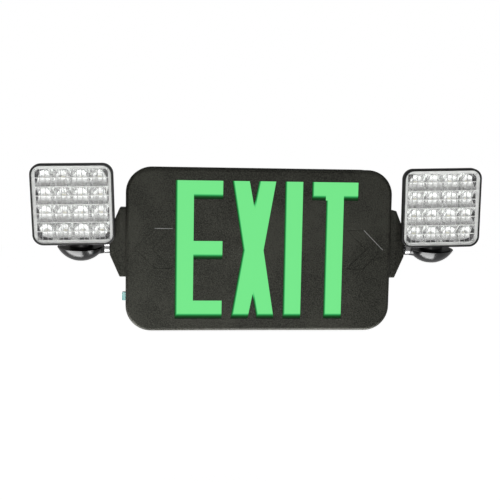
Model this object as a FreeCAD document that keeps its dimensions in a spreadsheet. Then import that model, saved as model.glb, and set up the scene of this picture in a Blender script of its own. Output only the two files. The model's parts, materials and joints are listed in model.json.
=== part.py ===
import FreeCAD, Part
import math
import os

import Sketcher
from FreeCAD import Placement, Rotation, Vector

# Emergency exit sign with two swivelling lamp heads, in millimetres.
# The origin is the middle of the back of the housing, where it meets the wall:
# X runs to the reader's right, Y into the wall and Z up, so the sign faces -Y.

doc = FreeCAD.newDocument("exit_sign")

SIZES = [
    # the sign's casing
    ("plate_wide", 294.4, "faceplate width"),
    ("plate_margin", 13.9, "faceplate, above and below the letters"),
    ("plate_corner", 28, "faceplate corner radius"),
    ("plate_skin", 2.6, "faceplate front wall"),
    ("plate_rim", 5.5, "depth of the faceplate's rim"),
    ("plate_round", 4.2, "rounding of the faceplate's front edge"),
    ("rim_wall", 3.4, "faceplate rim wall"),
    ("lip_deep", 8, "faceplate locating lip, behind the rim"),
    ("lip_wall", 1.8, "locating lip wall"),
    ("sign_deep", 46, "whole depth, wall to faceplate front"),
    ("case_wall", 2.4, "back housing wall"),
    ("seam_step", 0.5, "housing set in from the faceplate"),
    ("fit_gap", 0.25, "clearance of parts that fit together"),
    ("run_gap", 0.35, "clearance of parts that turn or slide"),
    ("touch_gap", 0.1, "clearance of a part pushed home"),
    # the legend
    ("letter_high", 152.4, "letter height, 6 inches"),
    ("stroke", 20.2, "letter stroke"),
    ("letter_gap", 9.8, "gap between letters"),
    ("legend_shift", 7.4, "legend centre, right of the plate's centre"),
    ("e_wide", 52, "width of the E"),
    ("x_wide", 48.4, "width of the X"),
    ("t_wide", 52, "width of the T"),
    ("x_waist", 23.2, "width of the X at its crossing"),
    ("x_notch", 26, "depth of the notches above and below the X"),
    ("x_foot", 19.2, "width of each arm's end on the X"),
    ("chevron_inset", 10, "chevron point, in from the faceplate's end"),
    ("chevron_half", 21.5, "chevron half height"),
    ("chevron_z", 1.5, "chevron centre, above the plate's centre"),
    ("chevron_arm", 18.4, "chevron arm, measured across"),
    ("groove_wide", 0.9, "chevron groove width"),
    ("groove_deep", 0.7, "chevron groove depth"),
    # the light box behind the legend
    ("diffuser_thick", 1.8, "legend diffuser thickness"),
    ("diffuser_edge", 5, "diffuser beyond the letters"),
    ("tray_deep", 21.6, "light tray depth"),
    ("tray_edge", 2, "light tray beyond the diffuser"),
    ("tray_wall", 1.4, "light tray wall"),
    ("strip_wide", 10, "legend LED board width"),
    ("board_thick", 1.2, "circuit board thickness"),
    ("led_size", 3.4, "LED side"),
    ("led_tall", 1.1, "LED height"),
    ("leds_per_strip", 12, "LEDs on each legend board"),
    ("screw_shank", 1.4, "radius of the small screws"),
    ("screw_head", 2.8, "radius of their heads"),
    ("screw_cap", 1.6, "height of their heads"),
    ("screw_long", 6, "depth of their holes"),
    ("screw_spare", 0.5, "hole depth beyond the screw's point"),
    ("slot_long", 3.4, "length of the slots in their heads"),
    ("slot_wide", 0.7, "width of the slots"),
    ("slot_deep", 1, "depth of the slots"),
    ("post_radius", 3.6, "radius of the moulded screw posts"),
    # wall fixing
    ("bolt_pitch", 88.9, "wall screws, 3.5 inches apart"),
    ("bolt_hole", 2.4, "radius of the wall screw holes"),
    ("entry_hole", 11.1, "radius of the half-inch conduit entry"),
    # electronics
    ("main_board_wide", 118, "control board width"),
    ("main_board_high", 62, "control board height"),
    ("main_board_lift", 4.4, "control board above the back wall"),
    ("main_board_x", 38, "control board centre, X"),
    ("main_board_z", -43.5, "control board centre, Z"),
    ("core_wide", 32, "transformer core width"),
    ("core_high", 26, "transformer core height"),
    ("core_tall", 9.4, "transformer height off the board"),
    ("core_lift", 1.2, "core, in from both faces of its bobbin"),
    ("core_shift", 25.6, "transformer centre, left of the board's centre"),
    ("bobbin_wide", 19.8, "bobbin width"),
    ("bobbin_out", 4, "bobbin, beyond the core above and below"),
    ("capacitor_radius", 4, "capacitor radius"),
    ("capacitor_tall", 8.6, "capacitor height"),
    ("capacitor_shift", 8, "capacitors, right of the board's centre"),
    ("capacitor_pitch", 12, "capacitor spacing"),
    ("terminal_wide", 11, "terminal block width"),
    ("terminal_high", 30, "terminal block length"),
    ("terminal_tall", 9, "terminal block height"),
    ("terminal_inset", 17, "terminal block, in from the board's end"),
    ("terminal_pitch", 10, "terminal spacing"),
    ("terminal_way", 2.2, "radius of the terminals' wire holes"),
    ("way_level", 3.6, "wire holes, above the board"),
    ("clamp_deep", 1.8, "depth of the holes over the clamp screws"),
    ("cell_radius", 7.1, "battery cell radius"),
    ("cell_long", 50, "battery cell length"),
    ("cell_lap", 0.6, "flat that joins two battery cells"),
    ("cell_x", -62, "battery pack centre, X"),
    ("cell_z", -42, "battery pack centre, Z"),
    ("strap_thick", 1.2, "battery strap thickness"),
    ("strap_wide", 14, "battery strap width"),
    ("strap_foot", 9, "length of the strap's feet"),
    ("rivet_cap", 1.2, "height of the strap's rivet heads"),
    # test button, on the left side wall
    ("button_high", 9, "test button height"),
    ("button_wide", 7, "test button width"),
    ("button_out", 4.6, "test button, out of the wall"),
    ("button_travel", 1.5, "test button travel"),
    ("button_z", -54, "test button centre, Z"),
    ("button_y", -26, "test button centre, Y"),
    ("button_flange", 1.4, "test button retaining flange"),
    ("button_round", 0.8, "rounding of the test button's edges"),
    ("button_lap", 1.6, "flange, beyond the button all round"),
    ("stem_radius", 2, "radius of the button's stem"),
    ("stem_long", 8.1, "length of the button's stem"),
    ("switch_size", 6, "test switch side"),
    ("switch_tall", 3.6, "test switch height"),
    ("plunger_radius", 1.7, "radius of the switch's plunger"),
    ("plunger_tall", 1.4, "height of the switch's plunger"),
    ("switch_board", 12, "side of the test switch's board"),
    # the side pods
    ("pod_straight", 7.2, "pod depth before it narrows"),
    ("pod_out", 17.9, "pod, out from the housing wall"),
    ("pod_top", 45, "top of the pod at the wall"),
    ("pod_foot", -30.8, "bottom of the pod at the wall"),
    ("pod_end_top", 20, "top of the pod's outer end"),
    ("pod_end_foot", -6.8, "bottom of the pod's outer end"),
    ("pod_deep", 24, "pod depth, front to back"),
    ("pod_end_deep", 20.4, "depth of the pod's outer end"),
    ("pod_wall", 2.4, "pod wall"),
    ("pod_round", 1.8, "rounding of the pod's edges"),
    # the elbow: a neck that turns in the pod, and a bowl that carries the head
    ("neck_y", -27.5, "neck axis, Y"),
    ("neck_z", 4.7, "neck axis, Z"),
    ("neck_radius", 10.6, "visible neck radius"),
    ("spigot_radius", 6, "neck spigot radius"),
    ("spigot_in", 3.6, "spigot beyond the inside of the pod wall"),
    ("neck_play", 2, "end play of the neck in the pod"),
    ("neck_bore", 3.6, "radius of the wire way in the neck"),
    ("ring_long", 5.3, "length of the neck ring"),
    ("ring_groove", 0.6, "groove between neck ring and elbow"),
    ("clip_radius", 7.4, "outer radius of the neck clip"),
    ("clip_thick", 1.2, "neck clip thickness"),
    ("clip_seat", 0.8, "depth of the neck clip's groove"),
    ("clip_mouth", 6, "opening of the neck clip"),
    ("collar_flare", 1.2, "growth of the collar's radius towards the bowl"),
    ("collar_end", 17.9, "inner end of the collar, from the bowl axis"),
    ("bore_end", 13.2, "inner end of the wire way, from the bowl axis"),
    ("sweep_inset", 0.7, "room cut for the head, in from the bowl's inside"),
    ("bowl_out", 31.6, "bowl axis beyond the pod, with the neck pushed in"),
    ("bowl_lift", 9.7, "bowl sphere centre above the neck axis"),
    ("bowl_radius", 28.8, "bowl outer radius"),
    ("bowl_wall", 2.4, "bowl wall"),
    ("bowl_rim", 13, "bowl rim, below the sphere centre"),
    ("bowl_floor", 21.8, "bowl floor, below the sphere centre"),
    ("floor_thick", 2.4, "bowl floor thickness over the nut recess"),
    ("nut_recess", 9, "radius of the nut recess"),
    ("post_hole", 4.8, "radius of the hole for the swivel post"),
    # the swivel under each lamp head
    ("dome_gap", 0.5, "swivel dome to bowl"),
    ("seat_gap", 0.8, "swivel dome to bowl floor"),
    ("dome_rise", 0.4, "top of the dome above the bowl's rim"),
    ("stub_tall", 6.6, "dome stub, inside the chin"),
    ("chin_radius", 13, "chin radius"),
    ("chin_tall", 16.5, "chin, from the dome to the start of its round top"),
    ("swivel_radius", 3.5, "swivel post radius"),
    ("swivel_bore", 2, "wire way in the swivel post"),
    ("swivel_flange", 7, "swivel post flange radius"),
    ("flange_thick", 1.5, "swivel post flange thickness"),
    ("washer_radius", 7.5, "swivel washer radius"),
    ("washer_thick", 0.8, "swivel washer thickness"),
    ("washer_gap", 0.3, "swivel washer to bowl"),
    ("nut_flats", 10, "swivel nut across flats"),
    ("nut_tall", 2.2, "swivel nut height"),
    # the lamp head, measured from the bowl's sphere centre
    ("head_side", 88, "lamp head width and height"),
    ("head_corner", 11.5, "lamp head corner radius"),
    ("head_out", 5, "head centre, outward of the bowl axis"),
    ("head_front", 22.5, "head front, ahead of the bowl axis"),
    ("head_lift", 36.9, "head centre, above the bowl's sphere centre"),
    ("bezel_deep", 8, "bezel depth"),
    ("bezel_wide", 2.15, "bezel face width"),
    ("bezel_lip", 1.4, "thickness of the bezel's front lip"),
    ("bezel_wall", 1.4, "bezel side wall"),
    ("bezel_round", 0.9, "rounding of the bezel's front edge"),
    ("lens_proud", 0.3, "lens, proud of the bezel"),
    ("lens_base", 1.7, "lens flange thickness"),
    ("lens_round", 0.8, "rounding of the lens's front edge"),
    ("rib_rows", 8, "lens prism rows"),
    ("rib_columns", 12, "lens prism columns"),
    ("rib_deep", 0.7, "depth of the lens prisms"),
    ("can_wall", 2, "lamp housing wall"),
    ("can_side", 79, "lamp housing width behind the bezel"),
    ("can_back", 60, "lamp housing width at the back"),
    ("can_deep", 25.5, "whole depth of the head"),
    ("can_corner", 9, "lamp housing corner radius"),
    ("back_corner", 14, "lamp housing corner radius at the back"),
    ("cell_rows", 4, "rows and columns of reflector cups"),
    ("cup_pitch", 19.4, "reflector cup spacing"),
    ("cup_mouth", 18.6, "reflector cup mouth"),
    ("cup_base", 6, "reflector cup base"),
    ("cup_deep", 7.6, "reflector cup depth"),
    ("lamp_board_side", 63, "lamp board side"),
    # how the heads stand at rest, in degrees
    ("tilt_left", 6.2, "left head, leaning forward"),
    ("pan_left", -2.6, "left head, turned"),
    ("lean_left", -1.7, "left head, leaning sideways in its bowl"),
    ("pull_left", 0, "left neck, drawn out of its pod"),
    ("tilt_right", 5.4, "right head, leaning forward"),
    ("pan_right", -0.8, "right head, turned"),
    ("lean_right", -1.8, "right head, leaning sideways in its bowl"),
    ("pull_right", 1.7, "right neck, drawn out of its pod"),
]

sheet = doc.addObject("Spreadsheet::Sheet", "sizes")
for row, (alias, number, note) in enumerate(SIZES, 1):
    sheet.set(f"A{row}", note)
    sheet.set(f"B{row}", str(number))
    sheet.setAlias(f"B{row}", alias)
doc.recompute()


class Size:
    """A size that carries its number and the sheet formula that gives it."""

    def __init__(self, text, number):
        self.text = text
        self.number = float(number)

    def __add__(self, other):
        other = as_size(other)
        return Size(f"({self.text} + {other.text})", self.number + other.number)

    def __sub__(self, other):
        other = as_size(other)
        return Size(f"({self.text} - {other.text})", self.number - other.number)

    def __mul__(self, other):
        other = as_size(other)
        return Size(f"({self.text} * {other.text})", self.number * other.number)

    def __truediv__(self, other):
        other = as_size(other)
        return Size(f"({self.text} / {other.text})", self.number / other.number)

    def __radd__(self, other):
        return as_size(other) + self

    def __rsub__(self, other):
        return as_size(other) - self

    def __rmul__(self, other):
        return as_size(other) * self

    def __neg__(self):
        return Size(f"(0 - {self.text})", -self.number)


def as_size(value):
    """Turn a plain number into a Size."""
    return value if isinstance(value, Size) else Size(repr(float(value)), value)


def size(alias):
    """The sheet's size of that name."""
    return Size(f"sizes.{alias}", sheet.get(alias))


def count(alias):
    """A whole number from the sheet."""
    return int(round(sheet.get(alias)))


def bind(obj, prop, value):
    """Bind one property of an object to a Size."""
    obj.setExpression(prop, as_size(value).text)


# ---------------------------------------------------------------- primitives

def put(obj, x, y, z, rotation=None):
    """Stand an object at a bound place."""
    x, y, z = as_size(x), as_size(y), as_size(z)
    obj.Placement = Placement(Vector(x.number, y.number, z.number), rotation or Rotation())
    bind(obj, "Placement.Base.x", x)
    bind(obj, "Placement.Base.y", y)
    bind(obj, "Placement.Base.z", z)
    return obj


def box(name, xs, ys, zs):
    """A block between pairs of X, Y and Z, each pair in either order."""
    spans = []
    for pair in (xs, ys, zs):
        low, high = sorted((as_size(end) for end in pair), key=lambda end: end.number)
        spans.append((low, high))
    block = doc.addObject("Part::Box", name)
    for prop, (low, high) in zip(("Length", "Width", "Height"), spans):
        setattr(block, prop, high.number - low.number)
        bind(block, prop, high - low)
    return put(block, *(low for low, high in spans))


TURNS = {
    "x": Rotation(Vector(0, 1, 0), 90),
    "y": Rotation(Vector(1, 0, 0), -90),
    "z": Rotation(),
}


def rod(name, axis, radius, ends, a, b):
    """A round bar along x, y or z between two ends; a and b place its axis."""
    low, high = sorted((as_size(end) for end in ends), key=lambda end: end.number)
    bar = doc.addObject("Part::Cylinder", name)
    bar.Radius = as_size(radius).number
    bar.Height = high.number - low.number
    bind(bar, "Radius", radius)
    bind(bar, "Height", high - low)
    place = {"x": (low, a, b), "y": (a, low, b), "z": (a, b, low)}[axis]
    return put(bar, *place, TURNS[axis])


def ball(name, radius, x, y, z):
    """A ball."""
    sphere = doc.addObject("Part::Sphere", name)
    sphere.Radius = as_size(radius).number
    bind(sphere, "Radius", radius)
    return put(sphere, x, y, z)


def cone(name, axis, first, last, ends, a, b):
    """A cone along x, y or z; first and last are its radii at the two ends."""
    low, high = (as_size(end) for end in ends)
    if low.number > high.number:
        low, high, first, last = high, low, last, first
    taper = doc.addObject("Part::Cone", name)
    taper.Radius1 = as_size(first).number
    taper.Radius2 = as_size(last).number
    taper.Height = high.number - low.number
    bind(taper, "Radius1", first)
    bind(taper, "Radius2", last)
    bind(taper, "Height", high - low)
    place = {"x": (low, a, b), "y": (a, low, b), "z": (a, b, low)}[axis]
    return put(taper, *place, TURNS[axis])


def join(name, shapes):
    """Fuse shapes into one."""
    if len(shapes) == 1:
        return shapes[0]
    whole = doc.addObject("Part::MultiFuse", name)
    whole.Shapes = shapes
    return whole


def carve(name, base, tools):
    """Cut tools out of a base."""
    rest = doc.addObject("Part::Cut", name)
    rest.Base = base
    rest.Tool = join(name + "_tools", tools)
    return rest


def overlap(name, shapes):
    """What all the shapes share."""
    common = doc.addObject("Part::MultiCommon", name)
    common.Shapes = shapes
    return common


def group(name, shapes):
    """Like pieces kept side by side as separate solids in one sub-part."""
    pieces = doc.addObject("Part::Compound", name)
    pieces.Links = shapes
    return pieces


# ------------------------------------------------------- sketches and bodies

def new_body(name):
    return doc.addObject("PartDesign::Body", name)


def sketch_at(body, name, depth, role="XZ_Plane"):
    """A sketch on one of the body's own planes, moved along its normal."""
    drawing = body.newObject("Sketcher::SketchObject", name)
    plane = [item for item in body.Origin.OriginFeatures if item.Role == role][0]
    drawing.AttachmentSupport = [(plane, "")]
    drawing.MapMode = "FlatFace"
    drawing.AttachmentOffset = Placement(Vector(0, 0, as_size(depth).number), Rotation())
    bind(drawing, "AttachmentOffset.Base.z", depth)
    return drawing


def pin_point(drawing, edge, end, x, z):
    """Hold one end of an edge at a bound point of the sketch."""
    for kind, value in (("DistanceX", as_size(x)), ("DistanceY", as_size(z))):
        index = drawing.addConstraint(
            Sketcher.Constraint(kind, -1, 1, edge, end, value.number))
        drawing.setExpression(f"Constraints[{index}]", value.text)


def polygon(drawing, points):
    """A closed outline of straight edges with every corner bound."""
    corners = [(as_size(x), as_size(z)) for x, z in points]
    first = drawing.GeometryCount
    for index, (x, z) in enumerate(corners):
        next_x, next_z = corners[(index + 1) % len(corners)]
        drawing.addGeometry(Part.LineSegment(
            Vector(x.number, z.number, 0), Vector(next_x.number, next_z.number, 0)))
    for index, (x, z) in enumerate(corners):
        edge = first + index
        following = first + (index + 1) % len(corners)
        drawing.addConstraint(Sketcher.Constraint("Coincident", edge, 2, following, 1))
        pin_point(drawing, edge, 1, x, z)


def rounded(drawing, wide, high, radius, mid_x=0, mid_z=0):
    """A rectangle with round corners about a bound middle."""
    wide, high, radius = as_size(wide), as_size(high), as_size(radius)
    mid_x, mid_z = as_size(mid_x), as_size(mid_z)
    first = drawing.GeometryCount
    runs = []
    for quarter, (across, up) in enumerate(((1, 1), (-1, 1), (-1, -1), (1, -1))):
        centre_x = mid_x + across * (wide / 2 - radius)
        centre_z = mid_z + up * (high / 2 - radius)
        middle = Vector(centre_x.number, centre_z.number, 0)
        start = math.radians(90 * quarter)
        circle = Part.Circle(middle, Vector(0, 0, 1), radius.number)
        drawing.addGeometry(Part.ArcOfCircle(circle, start, start + math.pi / 2))
        side = (mid_x + across * wide / 2, centre_z)
        flat = (centre_x, mid_z + up * high / 2)
        runs.append((side, flat) if across * up > 0 else (flat, side))
    for quarter in range(4):
        leave = runs[quarter][1]
        reach = runs[(quarter + 1) % 4][0]
        drawing.addGeometry(Part.LineSegment(
            Vector(leave[0].number, leave[1].number, 0),
            Vector(reach[0].number, reach[1].number, 0)))
    for quarter in range(4):
        arc = first + quarter
        line = first + 4 + quarter
        drawing.addConstraint(Sketcher.Constraint("Coincident", arc, 2, line, 1))
        drawing.addConstraint(
            Sketcher.Constraint("Coincident", line, 2, first + (quarter + 1) % 4, 1))
        pin_point(drawing, line, 1, *runs[quarter][1])
        pin_point(drawing, line, 2, *runs[(quarter + 1) % 4][0])
        index = drawing.addConstraint(Sketcher.Constraint("Radius", arc, radius.number))
        drawing.setExpression(f"Constraints[{index}]", radius.text)


def pad(body, name, drawing, length, backwards=False):
    """Grow a sketch along its normal, or against it."""
    feature = body.newObject("PartDesign::Pad", name)
    feature.Profile = drawing
    feature.Length = as_size(length).number
    bind(feature, "Length", length)
    feature.Reversed = backwards
    return feature


def pocket(body, name, drawing, length, backwards=False):
    """Sink a sketch against its normal, or along it, and check that it cuts."""
    doc.recompute()
    before = body.Shape.Volume
    feature = body.newObject("PartDesign::Pocket", name)
    feature.Profile = drawing
    feature.Length = as_size(length).number
    bind(feature, "Length", length)
    feature.Reversed = backwards
    doc.recompute()
    if not body.Shape.Volume < before - 0.001:
        raise RuntimeError(f"{name} cuts nothing")
    return feature


def loft(body, kind, name, first, second):
    """Run a straight-sided loft between two sketches."""
    feature = body.newObject(f"PartDesign::{kind}", name)
    feature.Profile = first
    feature.Sections = [second]
    feature.Ruled = True
    return feature


def soften(body, name, base, radius, wanted):
    """Round the edges of a feature that a test picks."""
    doc.recompute()
    picked = [f"Edge{number}" for number, edge in enumerate(base.Shape.Edges, 1) if wanted(edge)]
    feature = body.newObject("PartDesign::Fillet", name)
    feature.Base = (base, picked)
    feature.Radius = as_size(radius).number
    bind(feature, "Radius", radius)
    return feature


def flat_at(edge, axis, level):
    """True if an edge lies wholly at one level of x, y or z."""
    low = getattr(edge.BoundBox, axis.upper() + "Min")
    high = getattr(edge.BoundBox, axis.upper() + "Max")
    return abs(low - level) < 0.001 and abs(high - level) < 0.001


sub_parts = []


def finish(obj, label, place=None):
    """Name a finished sub-part and stand it in its place."""
    obj.Label = label
    if place is not None:
        obj.Placement = place
    sub_parts.append(obj)
    return obj


# ------------------------------------------------------------ derived sizes

half_wide = size("plate_wide") / 2
plate_high = size("letter_high") + 2 * size("plate_margin")
half_high = plate_high / 2
front_y = -size("sign_deep")
seam_y = front_y + size("plate_rim")
skin_y = front_y + size("plate_skin")
case_half_wide = half_wide - size("seam_step")
case_half_high = half_high - size("seam_step")
case_corner = size("plate_corner") - size("seam_step")
inner_half_wide = case_half_wide - size("case_wall")
inner_half_high = case_half_high - size("case_wall")
back_inside = -size("case_wall")
letter_top = size("letter_high") / 2
legend_wide = (size("e_wide") + size("x_wide") + size("stroke") + size("t_wide")
               + 3 * size("letter_gap"))
legend_left = size("legend_shift") - legend_wide / 2
legend_right = legend_left + legend_wide
diffuser_back = skin_y + size("diffuser_thick")
tray_back = diffuser_back + size("tray_deep")
tray_left = legend_left - size("diffuser_edge") - size("tray_edge")
tray_right = legend_right + size("diffuser_edge") + size("tray_edge")
tray_top = letter_top + size("diffuser_edge") + size("tray_edge")
board_y = back_inside - size("main_board_lift")
board_face = board_y - size("board_thick")


# ------------------------------------------------------------- the faceplate

def letter_e(left):
    """The E, its three bars as thick as its stem."""
    right = left + size("e_wide")
    stem = left + size("stroke")
    top, bar = letter_top, size("stroke")
    half_bar = bar / 2
    return [(left, -top), (right, -top), (right, bar - top), (stem, bar - top),
            (stem, -half_bar), (right, -half_bar), (right, half_bar), (stem, half_bar),
            (stem, top - bar), (right, top - bar), (right, top), (left, top)]


def letter_x(left):
    """The X, with straight arms that meet at a waist."""
    right = left + size("x_wide")
    middle = left + size("x_wide") / 2
    top, foot, waist = letter_top, size("x_foot"), size("x_waist") / 2
    notch = letter_top - size("x_notch")
    return [(left, -top), (left + foot, -top), (middle, -notch), (right - foot, -top),
            (right, -top), (middle + waist, 0), (right, top), (right - foot, top),
            (middle, notch), (left + foot, top), (left, top), (middle - waist, 0)]


def letter_i(left):
    """The I."""
    right = left + size("stroke")
    return [(left, -letter_top), (right, -letter_top), (right, letter_top), (left, letter_top)]


def letter_t(left):
    """The T, its stem under the middle of its bar."""
    right = left + size("t_wide")
    middle, half_stem = left + size("t_wide") / 2, size("stroke") / 2
    top, under = letter_top, letter_top - size("stroke")
    return [(middle - half_stem, -top), (middle + half_stem, -top), (middle + half_stem, under),
            (right, under), (right, top), (left, top), (left, under), (middle - half_stem, under)]


def legend_outlines():
    """The four letters, left to right."""
    x_left = legend_left + size("e_wide") + size("letter_gap")
    i_left = x_left + size("x_wide") + size("letter_gap")
    t_left = i_left + size("stroke") + size("letter_gap")
    return [letter_e(legend_left), letter_x(x_left), letter_i(i_left), letter_t(t_left)]


def chevron(side, grow):
    """A direction chevron's outline, grown all round; its tip points outward."""
    tip = half_wide - size("chevron_inset")
    half, arm = size("chevron_half"), size("chevron_arm")
    slant = grow * math.sqrt(2)
    points = [(tip + slant, 0), (tip - half + slant - grow, half + grow),
              (tip - half - arm - slant - grow, half + grow), (tip - arm - slant, 0),
              (tip - half - arm - slant - grow, -half - grow),
              (tip - half + slant - grow, -half - grow)]
    return [(side * x, z + size("chevron_z")) for x, z in points]


def build_faceplate():
    body = new_body("faceplate_body")
    outline = sketch_at(body, "plate_outline", -seam_y)
    rounded(outline, size("plate_wide"), plate_high, size("plate_corner"))
    block = pad(body, "plate_block", outline, size("plate_rim"))
    soften(body, "plate_edge", block, size("plate_round"),
           lambda edge: flat_at(edge, "y", front_y.number))
    hollow = sketch_at(body, "plate_hollow", -seam_y)
    rounded(hollow, size("plate_wide") - 2 * size("rim_wall"),
            plate_high - 2 * size("rim_wall"), size("plate_corner") - size("rim_wall"))
    pocket(body, "plate_inside", hollow, size("plate_rim") - size("plate_skin"), True)
    lip = sketch_at(body, "lip_outline", -skin_y)
    for inset in (size("fit_gap"), size("fit_gap") + size("lip_wall")):
        rounded(lip, 2 * (inner_half_wide - inset), 2 * (inner_half_high - inset),
                case_corner - size("case_wall") - inset)
    pad(body, "locating_lip", lip, size("plate_rim") - size("plate_skin") + size("lip_deep"), True)
    letters = sketch_at(body, "letters", -front_y)
    for points in legend_outlines():
        polygon(letters, points)
    pocket(body, "legend_openings", letters, size("plate_skin"))
    for name, side in (("left", -1), ("right", 1)):
        groove = sketch_at(body, f"{name}_chevron", -front_y)
        polygon(groove, chevron(side, size("groove_wide") / 2))
        polygon(groove, chevron(side, -size("groove_wide") / 2))
        pocket(body, f"{name}_chevron_groove", groove, size("groove_deep"))
    return finish(body, "faceplate")


# --------------------------------------------------------- the back housing

def post_places():
    """Screw posts that carry the light tray."""
    reach = size("tray_edge") + size("diffuser_edge") + size("post_radius")
    return [(x, z) for x in (tray_left + reach, tray_right - reach)
            for z in (tray_top - reach, reach - tray_top)]


def board_post_places():
    """Screw posts that carry the control board."""
    reach_x = size("main_board_wide") / 2 - size("post_radius")
    reach_z = size("main_board_high") / 2 - size("post_radius")
    return [(size("main_board_x") + across * reach_x, size("main_board_z") + up * reach_z)
            for across in (-1, 1) for up in (-1, 1)]


pod_screw_inset = size("pod_wall") / 2 + size("post_radius")
pod_screw_levels = (size("pod_top") - pod_screw_inset, size("pod_foot") + pod_screw_inset)
switch_face_x = -inner_half_wide + size("fit_gap") + size("stem_long") + size("button_travel")
switch_board_x = (switch_face_x + size("touch_gap") + size("plunger_tall")
                  + size("switch_tall"))
switch_rib_x = switch_board_x + size("board_thick")


def build_back_housing():
    body = new_body("back_housing_body")
    outline = sketch_at(body, "case_outline", 0)
    rounded(outline, 2 * case_half_wide, 2 * case_half_high, case_corner)
    pad(body, "case_block", outline, -seam_y)
    hollow = sketch_at(body, "case_hollow", -seam_y)
    rounded(hollow, 2 * inner_half_wide, 2 * inner_half_high, case_corner - size("case_wall"))
    pocket(body, "case_inside", hollow, -seam_y - size("case_wall"))
    doc.recompute()
    posts = []
    for number, (x, z) in enumerate(post_places()):
        posts.append(rod(f"tray_post_{number}", "y", size("post_radius"),
                         (back_inside / 2, tray_back), x, z))
    for number, (x, z) in enumerate(board_post_places()):
        posts.append(rod(f"board_post_{number}", "y", size("post_radius"),
                         (back_inside / 2, board_y), x, z))
    rib_half = size("switch_size")
    posts.append(box("switch_rib", (switch_rib_x, switch_rib_x + size("case_wall")),
                     (back_inside / 2, size("button_y") - rib_half),
                     (size("button_z") - rib_half, size("button_z") + rib_half)))
    holes = []
    for number, (x, z) in enumerate(post_places()):
        holes.append(rod(f"tray_pilot_{number}", "y", size("screw_shank"),
                         (tray_back, tray_back + size("screw_long")), x, z))
    for number, (x, z) in enumerate(board_post_places()):
        holes.append(rod(f"board_pilot_{number}", "y", size("screw_shank"),
                         (board_y, back_inside / 2), x, z))
    for number, side in enumerate((-1, 1)):
        holes.append(rod(f"bolt_hole_{number}", "y", size("bolt_hole"),
                         (back_inside - 1, 1), side * size("bolt_pitch") / 2, 0))
    holes.append(rod("conduit_entry", "y", size("entry_hole"), (back_inside - 1, 1), 0, 0))
    for side in (-1, 1):
        wall = (side * (inner_half_wide - 1), side * (case_half_wide + 1))
        name = "left" if side < 0 else "right"
        holes.append(rod(f"{name}_wire_way", "x", size("spigot_radius"), wall,
                         size("neck_y"), size("neck_z")))
        for number, level in enumerate(pod_screw_levels):
            holes.append(rod(f"{name}_pod_hole_{number}", "x",
                             size("screw_shank") + size("fit_gap"), wall, size("neck_y"), level))
    half_y = size("button_wide") / 2 + size("run_gap")
    half_z = size("button_high") / 2 + size("run_gap")
    holes.append(box("button_hole", (-inner_half_wide + 1, -case_half_wide - 1),
                     (size("button_y") - half_y, size("button_y") + half_y),
                     (size("button_z") - half_z, size("button_z") + half_z)))
    shell = join("case_with_posts", [body] + posts)
    return finish(carve("back_housing_cut", shell, holes), "back_housing")


# ------------------------------------------------------------- the light box

def build_diffuser():
    edge = size("diffuser_edge")
    sheet_body = box("diffuser_sheet", (legend_left - edge, legend_right + edge),
                     (skin_y, diffuser_back), (-letter_top - edge, letter_top + edge))
    return finish(sheet_body, "legend_diffuser")


def build_tray():
    wall = size("tray_wall")
    outer = box("tray_outer", (tray_left, tray_right), (diffuser_back, tray_back),
                (-tray_top, tray_top))
    inner = box("tray_inner", (tray_left + wall, tray_right - wall),
                (diffuser_back - 1, tray_back - wall), (wall - tray_top, tray_top - wall))
    holes = [rod(f"tray_hole_{number}", "y", size("screw_shank") + size("fit_gap"),
                 (tray_back - wall - 1, tray_back + 1), x, z)
             for number, (x, z) in enumerate(post_places())]
    return finish(carve("tray_cut", outer, [inner] + holes), "light_tray")


def screws(name, places, seat, direction, axis="y"):
    """Cross-head screws with their heads' undersides at the seat."""
    cap = seat - direction * size("screw_cap")
    point = seat + direction * (size("screw_long") - size("screw_spare"))
    arm, blade = size("slot_long") / 2, size("slot_wide") / 2
    made = []
    for number, (a, b) in enumerate(places):
        tag = f"{name}_{number}"
        head = rod(f"{tag}_head", axis, size("screw_head"), (cap, seat), a, b)
        shank = rod(f"{tag}_shank", axis, size("screw_shank"), (seat, point), a, b)
        deep = (cap - direction, cap + direction * size("slot_deep"))
        if axis == "y":
            cross = [box(f"{tag}_slot_a", (a - arm, a + arm), deep, (b - blade, b + blade)),
                     box(f"{tag}_slot_b", (a - blade, a + blade), deep, (b - arm, b + arm))]
        else:
            cross = [box(f"{tag}_slot_a", deep, (a - arm, a + arm), (b - blade, b + blade)),
                     box(f"{tag}_slot_b", deep, (a - blade, a + blade), (b - arm, b + arm))]
        made.append(carve(f"{tag}_screw", join(f"{tag}_blank", [head, shank]), cross))
    return group(name, made)


def build_tray_screws():
    return finish(screws("tray_screw_set", post_places(), tray_back - size("tray_wall"), 1),
                  "tray_screws")


def build_led_strip(name, up):
    """A board of LEDs along the top or bottom wall of the light tray."""
    wall_z = up * (tray_top - size("tray_wall"))
    face_z = wall_z - up * size("board_thick")
    left = legend_left
    middle = (diffuser_back + tray_back) / 2
    half = size("strip_wide") / 2
    board = box(f"{name}_board_blank", (left, left + legend_wide),
                (middle - half, middle + half), (wall_z, face_z))
    finish(board, f"{name}_led_board")
    total = count("leds_per_strip")
    pitch = legend_wide / total
    lamp = size("led_size") / 2
    lamps = []
    for number in range(total):
        x = left + pitch * (number + 0.5)
        lamps.append(box(f"{name}_led_{number}", (x - lamp, x + lamp),
                         (middle - lamp, middle + lamp), (face_z, face_z - up * size("led_tall"))))
    finish(group(f"{name}_led_set", lamps), f"{name}_leds")


# ------------------------------------------------------------ the electronics

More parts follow.
